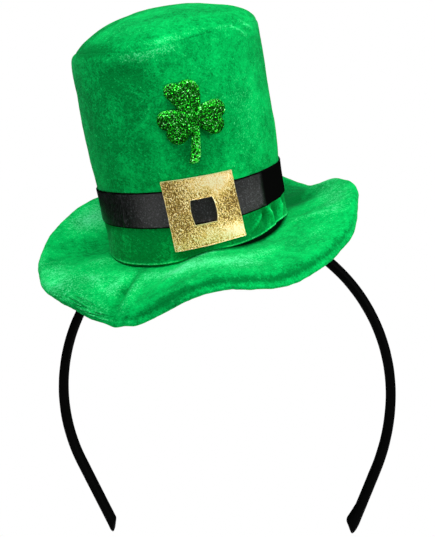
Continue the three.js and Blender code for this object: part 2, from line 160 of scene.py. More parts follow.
# Painted light (positive) and painted shade (negative) on the brim's pile:
# angle, share of the way out, half widths, amount
BRIM_PAINTED_LIGHT = table(
    "x y wide tall much",
    (-16, 0.24, 9, 0.14, 0.9),
    (-8, 0.42, 13, 0.2, 0.9),
    (5, 0.4, 13, 0.2, 0.8),
    (24, 0.33, 12, 0.14, 0.8),
    (11, 0.6, 9, 0.18, 0.8),
    (-62, 0.5, 6, 0.1, 0.8),
    (-54, 0.62, 5, 0.08, 0.5),
    (-36, 0.6, 3, 0.3, 0.8),
    (-29, 0.26, 8, 0.09, 0.7),
    (-80, 0.75, 10, 0.16, 0.9),
    (-62, 0.55, 16, 0.3, 0.4),
    (-78, 0.2, 9, 0.2, 0.8),
    (-50, 0.25, 10, 0.16, 0.6),
    (-106, 0.35, 12, 0.25, -0.7),
    (-72, 0.98, 14, 0.12, 0.9),
    (-46, 0.62, 4, 0.15, 0.7),
    (-42, 1, 10, 0.1, 0.8),
    (-124, 0.6, 12, 0.3, 0.8),
    (-137, 0.6, 14, 0.35, 1.1),
    (-66, 0.8, 9, 0.14, 0.5),
    (-19, 0.42, 7, 0.14, 1),
    (-48, 0.96, 14, 0.12, 0.6),
    (-43, 0.4, 2.2, 0.3, -0.6),
    (-48, 0.45, 3, 0.15, 0.6),
    (-34, 0.2, 6, 0.14, 0.5),
    (-19, 0.8, 6, 0.08, -0.7),
    (-11, 0.9, 5, 0.08, 0.7),
    (-40, 0.85, 2, 0.2, -0.6),
    (52, 0.6, 7, 0.12, 0.6),
    (65.5, 0.4, 2, 0.5, 0.8),
    (73, 0.7, 9, 0.2, 0.7),
    (88, 0.62, 14, 0.3, 0.8),
    (112, 0.82, 11, 0.25, 1.4),
    (-96, 0.97, 10, 0.1, 0.8),
    (-6, 0.03, 12, 0.1, 1.2),
    (105, 0.2, 13, 0.2, -2.4),
    (122, 0.35, 12, 0.25, -1.6),
    (130, 0.66, 12, 0.2, -1.4),
)
# A small step in the brim's lower outline: its angle and height, and how many degrees it rises and fades in
RIM_STEP_AT = 3.7
RIM_STEP_HIGH = 0.9
RIM_STEP_RISE = 0.8
RIM_STEP_FADE = 4
# Lumps of the padded cloth, large and small: height, size and seed of each layer
BRIM_LUMPS = ((0.4, 13, 1), (0.2, 5, 2), (0.05, 1.8, 3))
WALL_LUMPS = ((0.4, 18, 4), (0.14, 5, 5), (0.05, 1.8, 6))
TOP_LUMPS = ((0.5, 15, 7), (0.16, 5, 8), (0.05, 1.8, 9))
# Height of the brim's domed middle, its padding at the crown's foot, and how late it rolls away from level
BRIM_PEAK = 4.9
BRIM_PAD_FOOT = 4.5
BRIM_ROLL = 1.35
# Section of the brim. out: -1 at the centre, 0 at the crown's foot, 1 at the edge;
# up: 1 on the upper cloth and -1 on the lower
BRIM_SECTION = (
    (-1, 1), (-0.6, 1), (-0.25, 1), (-0.06, 1), (0.03, 1), (0.12, 1), (0.24, 1), (0.36, 1), (0.48, 1),
    (0.6, 1), (0.7, 1), (0.78, 1), (0.85, 0.96), (0.91, 0.85), (0.955, 0.66), (0.98, 0.46), (0.993, 0.27),
    (1, 0.1), (1, -0.07), (0.998, -0.25), (0.992, -0.42), (0.978, -0.6), (0.95, -0.8), (0.91, -0.93),
    (0.85, -1), (0.7, -1), (0.5, -1), (0.25, -1), (0, -1), (-0.3, -1), (-0.65, -1), (-1, -1),
)
# The seam along the edge: its place up the section, half its width there, how far it draws the edge in,
# how unevenly, and how high the puckers beside it are
SEAM_UP = 0.24
SEAM_WIDE = 0.45
SEAM_DRAW = 0.04
SEAM_UNEVEN = 0.35
SEAM_PUCKER = 0.2
# Painted shade along that seam: its place up the section, half its width, and how dark and uneven it is
SEAM_SHADE_UP = 0.42
SEAM_SHADE_WIDE = 0.36
SEAM_SHADE = 1.7
SEAM_SHADE_UNEVEN = 0.8
BRIM_ROWS_PER_POINT = 5
BRIM_STEPS = 640

CROWN_FOOT_RADIUS = 38.5
# height: top seam of the crown, slack: how slack the dome above it is (0.5 is a full round),
# swell: how far the wall below it swells past the crown's radius, tuck: how deep the seam is drawn in
CROWN_SHAPE = table(
    "at height slack swell tuck",
    (-150, 79.4, 0.66, 0.4, 1),
    (-102, 78.6, 0.76, 0.9, 2),
    (-56, 79, 0.72, 0.6, 1.9),
    (-30, 77.8, 0.66, 0.2, 0.4),
    (-17, 77.2, 0.62, 0, 0.15),
    (-3, 78.6, 0.58, 0, 0.15),
    (20, 80, 0.53, 0, 0.25),
    (78, 79.4, 0.54, -0.2, 0.7),
    (130, 79.6, 0.6, 0.1, 0.9),
)
# Painted light on the wall's pile, and painted shade (negative): angle, height, half widths, amount
WALL_PAINTED_LIGHT = table(
    "x y wide tall much",
    (-35, 67, 20, 6, -0.8),
    (-24, 75, 16, 3.5, 1.2),
    (-5, 77, 10, 2, 0.8),
    (-50, 58, 22, 14, -0.7),
    (32, 67, 14, 7, -0.45),
    (-45, 24.5, 14, 3.5, -0.8),
    (1, 41, 5, 5, 0.6),
    (-25, 60, 10, 12, -0.4),
    (-60, 79, 18, 1.2, -2.4),
    (-35, 48, 40, 30, -0.4),
    (0, 30, 25, 6, -0.2),
    (38, 45, 14, 24, 0.4),
    (-52, 30, 14, 8, 0.15),
)
# Painted light and shade (negative) on the crown's top: angle, share of the way out, half widths, amount
TOP_PAINTED_LIGHT = table(
    "x y wide tall much",
    (-68, 0.95, 22, 0.06, -1),
    (-60, 1, 18, 0.03, -1.6),
    (10, 0.55, 50, 0.25, -0.5),
    (50, 0.75, 30, 0.2, -0.5),
    (-40, 0.75, 25, 0.12, 0.3),
    (-6, 0.98, 16, 0.03, 0.9),
    (-22, 0.9, 20, 0.1, -0.2),
)
# Small puckers along the crown's top seam: their height, and how far they reach up and down
TOP_PUCKERS_HIGH = 0.18
TOP_PUCKERS_REACH = 4
# Larger ones across it: angle and height of both ends, half width, height (a crease is negative)
TOP_PUCKERS = table(
    "x0 y0 x1 y1 wide high",
    (26, 80.8, 39, 80.2, 0.8, 0.45),
    (39, 80.2, 50, 75, 0.8, 0.5),
    (48, 81.5, 57, 77.5, 0.9, 0.6),
    (9, 79.5, 24, 80.2, 0.6, -0.3),
    (-23, 79, -12, 78, 0.7, -0.3),
)
# Painted highlight on a pucker, painted shade in a gather's hollows and light on its ridges, and shade below
# the ribbon
PUCKER_PAINTED_HIGHLIGHT = 1.6
GATHER_PAINTED_SHADE = 1.4
BELOW_RIBBON_PAINTED_SHADE = 1.4
# That painted shade below the ribbon: half the angle it takes up, and how soon it starts. Below the buckle
# there is
# less of it: how much less, and half the angle
BELOW_RIBBON_WIDE = 85
BELOW_RIBBON_FADE = 3
BELOW_BUCKLE_LESS_SHADE = 0.6
BELOW_BUCKLE_WIDE = 14
# Painted highlight on the lip of the lifted hem: amount, place up the wall and half width
HEM_LIP_PAINTED_HIGHLIGHT = 2.4
HEM_LIP_AT = 0.008
HEM_LIP_WIDE = 0.004
# Where the seam's tuck is less than a limit, the crown's top laps down over the wall
SEAM_LAP = 0.35
SEAM_LAP_TUCK = 0.6
# How far the edge of the top stands out past that tuck
TOP_STANDS_OUT = 0.1
# Section of the crown's wall: inset from the outer face, share of the way from the hem up to the seam.
# The hem has a small lip, and at one inset the outer face ends, drawn in by the seam's tuck
WALL_TOP_INSET = 1.5
CROWN_SECTION = (
    (1.4, 0), (0.7, 0), (0.15, 0.001), (-0.2, 0.004), (-0.28, 0.008), (-0.14, 0.014), (0, 0.023), (0, 0.04),
    (0, 0.07), (0, 0.11), (0, 0.16), (0, 0.24), (0, 0.34), (0, 0.44), (0, 0.54), (0, 0.64), (0, 0.74),
    (0, 0.83), (0, 0.9), (0, 0.945), (0.06, 0.965), (0.28, 0.98), (0.66, 0.991), (1.1, 0.998), (1.5, 1),
    (2.4, 1), (3, 0.99), (3, 0.7), (3, 0.35), (3, 0.05), (2.6, 0.01),
)
# It is first spun at a small radius
SECTION_RADIUS = 5
CROWN_ROWS_PER_POINT = 5
CROWN_STEPS = 560
# Section of the crown's top: share of the way out, and 0 on its upper face or 1 on its lower one
TOP_SECTION = (
    (0, 0), (0.12, 0), (0.3, 0), (0.5, 0), (0.68, 0), (0.82, 0), (0.91, 0), (0.96, 0), (0.985, 0), (1, 0),
    (1, 1), (0.9, 1), (0.6, 1), (0.3, 1), (0, 1),
)
TOP_ROWS_PER_POINT = 5
# Gathers in the crown: angle, half width, depth (a ridge is negative) and degrees of lean a millimetre.
# They start at a distance below the middle of the ribbon, are soon full and fade out again towards the hem
GATHER_FROM = 6.5
GATHER_REACH = 4
GATHER_FADE = 7
GATHERS = table(
    "at wide deep lean",
    (-84, 5, 0.6, 0),
    (-70, 4, -0.3, 0),
    (29, 3, 0.6, -0.6),
    (37, 1.5, -1.5, -1.7),
    (40.5, 2.3, 2.4, 0.1),
    (46.7, 1.6, -1.6, 0.6),
    (53, 2.6, 2.5, 0.1),
    (62.3, 1.8, -1.4, -0.3),
    (69, 3, 0.9, 0),
    (78, 4, 0.5, 0),
)
# Hollows (positive) and swells of the wall: angle, height, half widths and depth
WALL_DENTS = table(
    "x y wide tall much",
    (-34, 69.5, 17, 5, 1.2),
    (-30, 76, 20, 3, -0.4),
    (-97, 82, 42, 7, 1.3),
    (30, 58, 14, 12, -0.6),
    (-50, 34, 16, 8, -0.5),
    (12, 35, 10, 6, 0.4),
)

# How far above the ribbon the crown is still drawn in by it
CINCH_REACH = 15
# Half the height of the wall that stays free of lumps, under the ribbon, and how soon they start beyond it
RIBBON_CLEAR = 6
RIBBON_CLEAR_FADE = 4
# Heights of the ribbon's two edges round the crown, and how far it draws the crown in
RIBBON_EDGES = table(
    "at low high cinch",
    (-180, 8.4, 22.2, 1.4),
    (-102, 7.9, 21.4, 1.35),
    (-62, 7.4, 21.5, 1.5),
    (-23, 6, 20.4, 1.5),
    (0, 5.7, 20.2, 1.4),
    (23, 5.2, 19.6, 1.4),
    (55, 6.3, 20, 1.3),
    (80, 7, 20.1, 1.2),
    (130, 8.4, 22.4, 1.3),
)
RIBBON_GAP = 0.15
# Section of the ribbon: share of its thickness, share of its width
RIBBON_SECTION = (
    (0, 0.004), (0.5, 0), (0.96, 0.004), (1, 0.012), (1, 0.06), (1, 0.25), (1, 0.5), (1, 0.75), (1, 0.94),
    (1, 0.988), (0.96, 0.996), (0.5, 1), (0, 0.996), (0, 0.5),
)
# How unevenly it lies. Its edges are dull from a distance off its middle, beginning over a share of its width
RIBBON_UNEVEN = 0.06
RIBBON_DULL_FROM = 0.485
RIBBON_DULL_FADE = 0.008
RIBBON_ROWS_PER_POINT = 2
RIBBON_STEPS = 480
# A crumpled place in the ribbon on one side of the buckle and a fold across it on the other
CRUMPLE_AT = -55
CRUMPLE_WIDE = 6
CRUMPLE_DEEP = 0.4
FOLD_AT = 41
FOLD_WIDE = 4
FOLD_HIGH = 0.35
# Past the fold the ribbon shows its dull face, from one angle to another, beginning and ending over some
# degrees; its edges are dull too
LAP_FROM = 40.8
LAP_TO = 110
LAP_FADE = 3
LAP_END_FADE = 10

# Height of the buckle's middle on the crown
BUCKLE_HEIGHT = 10.4
# How far its corners are out of square, across and up: lower left and right, upper left and right
BUCKLE_CORNERS = ((0.9, -0.3), (0.8, 0.9), (0, 0.2), (-1, -0.2))
# Places on the buckle with little grain and painted light, or much grain and painted shade (negative): place
# from its middle and half widths, in half widths of the buckle, and amount
BUCKLE_SMOOTH_AND_PAINTED_LIGHT = table(
    "x y wide tall much",
    (0.6, 0.75, 0.45, 0.35, 1.3),
    (0.1, 0.8, 0.5, 0.25, 0.9),
    (0.5, 0.4, 0.2, 0.2, 0.6),
    (-0.75, 0.05, 0.32, 0.8, -0.9),
    (0.8, 0.1, 0.3, 0.35, -0.7),
    (0.8, -0.75, 0.35, 0.25, 1.5),
    (-0.05, -0.72, 0.7, 0.25, 0.8),
    (-0.85, -0.85, 0.25, 0.25, 0.5),
)
# Layers of its coarse grain, fine grain and wide waves: height, size and seed, and the depth left for them
COARSE_GRAIN = ((0.07, 1.1, 12),)
FINE_GRAIN = ((0.06, 0.7, 13),)
BUCKLE_WAVES = ((0.15, 7, 14),)
GRAIN_DEPTH = 0.1
# The cut edges get a painted highlight, and wander by a share of their distance from the middle
BUCKLE_EDGE_PAINTED_HIGHLIGHT = 1.3
BUCKLE_EDGE_UNEVEN = 0.08 / 15
# How far the window's sides bow out
WINDOW_BULGE = 0.7
# The buckle starts as a square of three by three cells without the middle one, each cut into many
BUCKLE_GRID = 1.5
WINDOW_GRID = 0.5
BUCKLE_CUTS = 25

# The shamrock's place on the crown: angle and height
SHAMROCK_AT = 4
SHAMROCK_HEIGHT = 49
# Its heart leaflets: turn from upright, distance out to the lobes, half the distance between them, their
# radius, and how much further out the right one lies
LEAFLETS = (
    (-16.5, 10.8, 2.8, 3.9, -0.22),
    (104, 8.7, 3, 3.9, 0),
    (-110, 9.6, 3.3, 4.1, 0.1),
)
# How far the leaflets' points reach past the middle, and how far their sides bulge
LEAFLET_LAP = 1.6
LEAFLET_BULGE = 0.9
# Stem stations: place across and up from the middle of the leaflets, and width
STEM = (
    (0.6, 1.5, 2.2),
    (-0.2, -5, 2.9),
    (-1.2, -11.8, 3.4),
    (-2, -15.8, 3.9),
    (-2.9, -17.9, 3.8),
    (-3, -18.7, 2.2),
)
# The grid that it is cut from: width, height and cell
SHAMROCK_FIELD = (36, 40)
SHAMROCK_CELL = 0.3
# Distance from the edge over which the foam rises, and the share of its height at the edge
SHAMROCK_PUFF = 2.6
SHAMROCK_EDGE = 0.25
# Glitter flakes: how many, the depth left for them, how far they tilt and stand up, and their radii
FLAKES_PER_MM2 = 8
FLAKE_DEPTH = 0.2
FLAKE_TILT = 0.36
FLAKE_LIFT = 0.12
FLAKE_RADIUS = (0.15, 0.3)
# Darkest tone of a flake without painted light and with it, and how much painted light one gets that faces up
FLAKE_TONES = (0.15, 0.8)
UPWARD_PAINTED_LIGHT = 0.8
# Below a place up from the middle of the leaflets the stem's flakes get painted light, this much in the
# middle of the stem and more with each millimetre to the right, as far as its half width
STEM_TOP = -4
STEM_PAINTED_LIGHT = 0.6
STEM_PAINTED_LIGHT_RISE = 0.2
STEM_HALF_WIDTH = 2
FLAKE_SEED = 7

# Head band: an elliptical arch whose legs bend inwards to straight ends: bend radius, turn and straight
ARCH_HALF_WIDTH = 72.2
ARCH_RISE = 77
LEG_LEFT = (78, 25.2, 35.5)
LEG_RIGHT = (98, 19.6, 31.4)
# Thickness of the band at its left and right ends
BAND_THICK_ENDS = (3.9, 4.7)
# The band near its two ends, cut off on a slant: distance from the end, how far its inner and outer faces are
# drawn in there (a flare is negative), and share of its full width
BAND_LEFT_END = (
    (0, 3, 0.9, 0), (0.15, 2.75, 0.7, 0.5), (0.5, 2.45, 0.45, 0.75), (1.2, 2, 0.2, 0.9),
    (2.2, 1.35, 0.05, 1), (4.3, 0.05, 0, 1), (6, 0, 0, 1), (12.5, 0, 0, 1),
)
BAND_RIGHT_END = (
    (0, 3.2, 1.5, 0), (0.15, 2.7, 1.3, 0.5), (0.5, 2.2, 1.1, 0.75), (1.2, 1.5, 0.75, 0.9),
    (2.4, 0.5, 0.35, 1), (3.9, -0.9, 0.1, 1), (4.6, -1.25, 0.03, 1), (5.6, -1.25, 0, 1),
    (8.5, -0.7, 0, 1), (12.5, 0, 0, 1),
)
# The band's section is an oval, squarer than an ellipse, which has 2
BAND_SQUARENESS = 2.5
BAND_LUMPS = ((0.04, 6, 15),)
BAND_ROWS = 420
BAND_SIDES = 36


def size_property(name, description, default):
    return FloatProperty(name=name, description=description, default=default, unit="LENGTH")


def colour_property(name, description, default):
    return FloatVectorProperty(name=name, description=description, default=default, subtype="COLOR")


def power_property(name, description, default):
    return FloatProperty(name=name, description=description, default=default, unit="POWER")


class HatSizes(PropertyGroup):
    """Sizes of the hat and the head band"""

    crown_radius: size_property("Crown radius", "Outer radius of the crown", 0.0397)
    crown_wall: size_property("Crown wall", "Thickness of the crown's plush wall", 0.003)
    dome_top: size_property("Dome top", "Height of the puffed crown top", 0.0914)
    brim_rim: size_property("Brim edge", "Thickness of the padding at the brim's edge", 0.007)
    ribbon_thick: size_property("Ribbon thickness", "Thickness of the satin ribbon", 0.0005)
    buckle_width: size_property("Buckle width", "Width of the gilt square", 0.0296)
    buckle_depth: size_property("Buckle height", "Height of the gilt square", 0.0286)
    buckle_thick: size_property("Buckle thickness", "Thickness of the gilt leathercloth", 0.0012)
    window_width: size_property("Window width", "Width of the window in the buckle", 0.009)
    window_depth: size_property("Window height", "Height of the window in the buckle", 0.0105)
    shamrock_thick: size_property("Shamrock thickness", "Height of the puffed foam", 0.0024)
    band_wide: size_property("Band width", "Width of the covered head band", 0.008)
    band_thick: size_property("Band thickness", "Thickness of the covered head band", 0.0042)


class HatColours(PropertyGroup):
    """Colours of the cloths and the trim"""

    plush_deepest: colour_property("Plush, deepest", "Plush between the strokes", (0.0004, 0.165, 0.028))
    plush_deep: colour_property("Plush, deep", "Plush where the pile lies away", (0.0006, 0.235, 0.042))
    plush_bright: colour_property("Plush, bright", "Plush where the pile stands up", (0.0014, 0.61, 0.117))
    plush_tips: colour_property("Plush tips", "Pale tips of the pile", (0.19, 0.85, 0.5))
    plush_sheen: colour_property("Plush sheen", "Colour of the light on the pile's tips", (0.12, 1, 0.42))
    # Painted shade for the faces inside the crown and the brim under it
    inner_painted_shade: colour_property("Backing", "Dark backing inside the crown", (0.0005, 0.003, 0.001))
    satin: colour_property("Satin", "Colour of the ribbon", (0.002, 0.002, 0.002))
    # Painted glints: random paler specks in the ribbon's colour
    satin_painted_glints: colour_property("Satin glints", "Paler threads of the ribbon", (0.055, 0.055, 0.064))
    gilt_deep: colour_property("Gilt, deep", "Gilt in the creases", (0.15, 0.07, 0.005))
    gilt: colour_property("Gilt", "Gilt between the creases", (0.85, 0.53, 0.085))
    # Also the colour of the painted highlights on the buckle
    gilt_bright: colour_property("Gilt, bright", "Gilt on the raised grain", (1, 0.9, 0.57))
    foam: colour_property("Foam", "Foam between the flakes", (0.0006, 0.035, 0.001))
    glitter_deep: colour_property("Glitter, deep", "Darkest flakes", (0.0006, 0.11, 0.001))
    glitter_bright: colour_property("Glitter, bright", "Brightest flakes", (0.02, 1, 0.03))
    # Pale flakes painted in as glints
    glitter_painted_glints: colour_property("Glitter, pale", "A few pale flakes", (0.3, 1, 0.34))
    cover: colour_property("Band cover", "Cloth over the head band", (0.0004, 0.0004, 0.0004))
    cover_threads: colour_property("Band threads", "Paler threads of that cloth", (0.002, 0.002, 0.002))


class HatStage(PropertyGroup):
    """Lights and floor"""

    top_power: power_property("Top light", "Power of the light overhead", 11.8)
    key_power: power_property("Key light", "Power of the light on the right", 11)
    strip_power: power_property("Strip light", "Power of the light on the left", 3)
    fill_power: power_property("Fill light", "Power of the low light in front", 1.2)
    sky: FloatProperty(name="Sky", description="Strength of the even light all round", default=0.3)
    floor_glow: FloatProperty(name="Floor glow", description="Light that the floor gives off", default=0.5)
    floor_radius: size_property("Floor radius", "Radius of the floor", 0.5)
    floor_drop: size_property("Floor drop", "Height of the head band's ends above the floor", 0.25)


def mm(name):
    """One of the hat's sizes, in millimetres."""
    return getattr(bpy.context.scene.hat_sizes, name) / MM


def colour(name):
    """One of the hat's colours, for a colour socket."""
    return (*getattr(bpy.context.scene.hat_colours, name), 1)


def lerp(low, high, share):
    """A number between two others, by a share."""
    return low + (high - low) * share


def unit(x):
    """Numbers held between 0 and 1."""
    return np.clip(x, 0, 1)


def fade(x, start, over):
    """Rises from 0 at a start to 1 after a stretch."""
    return unit((x - start) / over)


def bell(x, middle, wide):
    """A soft bump of height 1."""
    return np.exp(-(((x - middle) / wide) ** 2))


def around(rows, column, deg):
    """A smooth closed curve round the hat through one column of a table, at the given angles."""
    at = np.concatenate([rows["at"] - 360, rows["at"], rows["at"] + 360])
    value = np.tile(rows[column], 3)
    slope = (np.roll(value, -1) - np.roll(value, 1)) / (np.roll(at, -1) - np.roll(at, 1))
    i = np.searchsorted(at, deg, side="right") - 1
    span = at[i + 1] - at[i]
    t = (deg - at[i]) / span
    bend = slope[i] * t * (1 - t) ** 2 - slope[i + 1] * t * t * (1 - t)
    return lerp(value[i], value[i + 1], t * t * (3 - 2 * t)) + span * bend


def hat_matrix():
    """The hat's place: square to the arch where its normal has the hat's lean, on the band's outer face."""
    lean = math.radians(HAT_LEAN)
    share = math.atan(ARCH_HALF_WIDTH / ARCH_RISE * math.tan(lean))
    thick = mm("band_thick")
    place = Vector((
        -ARCH_HALF_WIDTH * math.sin(share) - math.sin(lean) * thick / 2,
        0,
        arch_centre() + ARCH_RISE * math.cos(share) + math.cos(lean) * thick / 2,
    ))
    turn = Matrix.Rotation(-lean, 4, "Y") @ Matrix.Rotation(math.radians(HAT_TURN), 4, "Z")
    return Matrix.Translation(place * MM) @ turn @ Matrix.Scale(MM, 4)


def arch_centre():
    """Height of the arch's centre, with the inner face of its top at the origin."""
    return mm("band_thick") / 2 - ARCH_RISE


def hat_points(deg, radius, height):
    """Points of the hat from their angles, distances from the crown's axis and heights."""
    angle = np.radians(deg)
    return np.stack([radius * np.sin(angle), -radius * np.cos(angle), height + 0 * angle], axis=1)


def smooth_chain(points, rows, closed=False):
    """A finer chain of points on a smooth curve through a few of them."""
    points = np.array(points, float)
    if closed:
        around_points = np.concatenate([points[-1:], points, points[:2]])
    else:
        around_points = np.concatenate([points[:1], points, points[-1:]])
    made = []
    for before, here, after, beyond in zip(*(around_points[i:len(around_points) - 3 + i] for i in range(4))):
        for step in range(rows):
            t = step / rows
            made.append(
                here * (1 + t * t * (2 * t - 3)) + after * t * t * (3 - 2 * t)
                + (after - before) / 2 * t * (1 - t) ** 2 - (beyond - here) / 2 * t * t * (1 - t)
            )
    if not closed:
        made.append(points[-1])
    return made


def spun(chain, steps, closed=False):
    """A grid rolled up round Z into the skin of a chain of (radius, height), its seam and poles closed."""
    chain = np.array([*chain, chain[0]] if closed else chain)
    bm = bmesh.new()
    bmesh.ops.create_grid(bm, x_segments=len(chain) - 1, y_segments=steps, size=0.5)
    x, y = coordinates(bm).T[:2]
    radius, height = chain[np.rint((x + 0.5) * (len(chain) - 1)).astype(int)].T
    place_all(bm, hat_points(360 * y, radius, height))
    bmesh.ops.remove_doubles(bm, verts=bm.verts, dist=1e-5)
    return bm


def coordinates(bm):
    """Places of all vertices."""
    return np.array([vert.co for vert in bm.verts])


def place_all(bm, points):
    """Moves every vertex to its point and turns the faces outwards."""
    for vert, point in zip(bm.verts, points):
        vert.co = point
    bmesh.ops.recalc_face_normals(bm, faces=bm.faces)
    bm.normal_update()


def spun_parts(bm):
    """Angle round the spin's axis, radius and height of every vertex."""
    x, y, z = coordinates(bm).T
    return np.degrees(np.arctan2(x, -y)), np.hypot(x, y), z


def lumps(points, size, seed):
    """Smooth noise between -1 and 1 at points, with bumps of about one size."""
    shift = Vector((seed, 2 * seed, -seed))
    return np.array([noise.noise(Vector(point) / size + shift) for point in points])


def lumpy(points, layers):
    """Height of several layers of lumps at points."""
    return sum(high * lumps(points, size, seed) for high, size, seed in layers)


def marks(x, y, rows):
    """Sum of the soft round marks of a table at places."""
    total = np.zeros_like(x)
    for at_x, at_y, wide, tall, much in zip(*rows.values()):
        total += much * np.exp(-(((x - at_x) / wide) ** 2) - ((y - at_y) / tall) ** 2)
    return total


def streaks(across, along, seed):
    """Smooth noise between -1 and 1 over two numbers, for wrinkles longer than they are wide."""
    return lumps(np.stack([across, along, 0 * along], axis=1), 1, seed)


def push_out(bm, amounts):
    """Moves every vertex along its normal."""
    normals = np.array([vert.normal for vert in bm.verts])
    place_all(bm, coordinates(bm) + normals * amounts[:, None])


def finished(bm, name, matrix, **values):
    """A smooth mesh object at the origin from a bmesh in its own frame, with named values at its vertices."""
    bmesh.ops.transform(bm, matrix=matrix, verts=bm.verts)
    mesh = bpy.data.meshes.new(name)
    bm.to_mesh(mesh)
    bm.free()
    mesh.shade_smooth()
    mesh.set_sharp_from_angle(angle=math.radians(50))
    for key, numbers in values.items():
        mesh.attributes.new(key, "FLOAT", "POINT").data.foreach_set("value", numbers)
    made = bpy.data.objects.new(name, mesh)
    bpy.context.scene.collection.objects.link(made)
    return made


def dressed(piece, node, material):
    """Lets a piece stand for its CAD node, with its finish."""
    piece.data.materials.append(material)
    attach(piece, "root")
    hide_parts(node)
    return piece


# Surfaces of the hat


def crease_depth(deg, out):
    """Depth of the creases that run out across the brim."""
    depth = np.zeros_like(deg)
    for start, end, wide, deep, near, far in zip(*BRIM_CREASES.values()):
        along = fade(out, near, far - near)
        depth += deep * np.sin(np.pi * along) * bell(deg, lerp(start, end, along), wide)
    return depth


def brim_points(deg, out, up):
    """Points of the padded brim, domed over the band inside the crown's foot and wavy outside it."""
    seat = around(BRIM_FOLDS, "seat", deg)
    inner = 1 + np.minimum(out, 0)
    outer = np.maximum(out, 0)
    pad = lerp(BRIM_PAD_FOOT, mm("brim_rim"), outer)
    dome = lerp(BRIM_PEAK, seat, inner * inner) - BRIM_PAD_FOOT / 2
    wave = lerp(seat - BRIM_PAD_FOOT / 2, around(BRIM_FOLDS, "rim", deg), outer ** BRIM_ROLL)
    middle = np.where(out < 0, dome, wave - crease_depth(deg, outer))
    edge = fade(out, 0.8, 0.15) * bell(up, SEAM_UP, SEAM_WIDE)
    uneven = 1 + SEAM_UNEVEN * streaks(deg / 6, 0 * deg, 21)
    outer = outer - SEAM_DRAW * edge * around(BRIM_FOLDS, "seam", deg) * uneven
    reach = lerp(CROWN_FOOT_RADIUS, around(BRIM_FOLDS, "reach", deg), outer)
    radius = np.where(out < 0, CROWN_FOOT_RADIUS * inner, reach)
    past = np.maximum(RIM_STEP_AT - deg, 0)
    step = RIM_STEP_HIGH * unit(past / RIM_STEP_RISE) * np.exp(-past / RIM_STEP_FADE)
    step = step * fade(out, 0.9, 0.08) * unit(0.3 - up)
    return hat_points(deg, radius, middle + pad * up / 2 + step)


def brim_top(deg, radius):
    """Height of the brim's upper cloth inside the crown's foot."""
    return brim_points(deg, radius / CROWN_FOOT_RADIUS - 1, np.ones_like(deg))[:, 2]


def ribbon_middle(deg):
    """Height of the middle of the ribbon."""
    return (around(RIBBON_EDGES, "low", deg) + around(RIBBON_EDGES, "high", deg)) / 2


def gather_depth(deg, height):
    """Depth of the gathers below the ribbon."""
    below = ribbon_middle(deg) - height - GATHER_FROM
    depth = np.zeros_like(deg)
    for at, wide, deep, lean in zip(*GATHERS.values()):
        depth += deep * bell(deg - at, lean * (below - GATHER_REACH), wide)
    return depth * unit(below / GATHER_REACH) * (1 - fade(below, GATHER_REACH, GATHER_FADE))


def crown_radius(deg, height):
    """Radius of the crown's outer face, drawn in by the ribbon and the gathers below it."""
    above = np.minimum(ribbon_middle(deg) - height, 0)
    cinch = around(RIBBON_EDGES, "cinch", deg) * bell(above, 0, CINCH_REACH)
    dents = marks(deg, height, WALL_DENTS)
    swell = around(CROWN_SHAPE, "swell", deg)
    return mm("crown_radius") + swell - cinch - gather_depth(deg, height) - dents


def make_brim():
    """The padded brim, folded, creased and puckered, with values for its painted light and shade."""
    bm = spun([(1 + out, up) for out, up in smooth_chain(BRIM_SECTION, BRIM_ROWS_PER_POINT)], BRIM_STEPS)
    deg, radius, up = spun_parts(bm)
    out = radius - 1
    place_all(bm, brim_points(deg, out, up))
    soft = lumpy(coordinates(bm), BRIM_LUMPS)
    aside = deg - EDGE_WRINKLES_AT
    pressed = np.exp(-((aside / EDGE_WRINKLES_WIDE) ** 4)) * unit(up * 2 + 0.5)
    pressed *= unit((out - EDGE_WRINKLES_FROM + EDGE_WRINKLES_SLANT * aside) / EDGE_WRINKLES_FADE)
    across = (out * FLANGE - up * EDGE_HALF_THICK) / EDGE_WRINKLE_WIDE + deg / EDGE_WRINKLE_DRIFT
    wrinkle = pressed * (0.25 - np.abs(streaks(deg / EDGE_WRINKLE_LONG, across, 17.3)))
    soft -= EDGE_WRINKLES_DEEP * wrinkle
    seam = around(BRIM_FOLDS, "seam", deg)
    pucker = fade(out, 0.7, 0.2) * seam
    soft += SEAM_PUCKER * pucker * streaks(deg / 3, out * 4, 18)
    push_out(bm, soft * fade(out, 0.03, 0.125))
    # The brim's upper cloth inside the crown's foot gets painted shade
    hidden = unit((-out - 0.01) * 60) * (up > 0)
    # Painted shade along the seam, then painted light and shade on the pile from the listed marks and the
    # edge wrinkles
    shade = bell(up, SEAM_SHADE_UP, SEAM_SHADE_WIDE) * fade(out, 0.8, 0.12) * seam
    nap = marks(deg, out, BRIM_PAINTED_LIGHT) * (up > 0) - EDGE_WRINKLES_PAINTED_SHADE * np.maximum(wrinkle, 0)
    nap -= shade * (SEAM_SHADE + SEAM_SHADE_UNEVEN * streaks(deg / 3, up * 2, 22))
    return finished(bm, "brim_plush", hat_matrix(), hidden=hidden, nap=nap)


def seam_puckers(deg, height):
    """Wrinkles of the cloth on both sides of the crown's top seam: all of them, and the larger ones alone."""
    near = bell(height, around(CROWN_SHAPE, "height", deg), TOP_PUCKERS_REACH)
    small = TOP_PUCKERS_HIGH * streaks(deg / 4, height / 9, 19) * near
    large = np.zeros_like(deg)
    across = mm("crown_radius") * np.radians(deg)
    for x0, y0, x1, y1, wide, high in zip(*TOP_PUCKERS.values()):
        x0, x1 = mm("crown_radius") * np.radians((x0, x1))
        share = ((across - x0) * (x1 - x0) + (height - y0) * (y1 - y0)) / ((x1 - x0) ** 2 + (y1 - y0) ** 2)
        share = unit(share)
        away = np.hypot(across - lerp(x0, x1, share), height - lerp(y0, y1, share))
        large += high * bell(away, 0, wide)
    return small + large, large


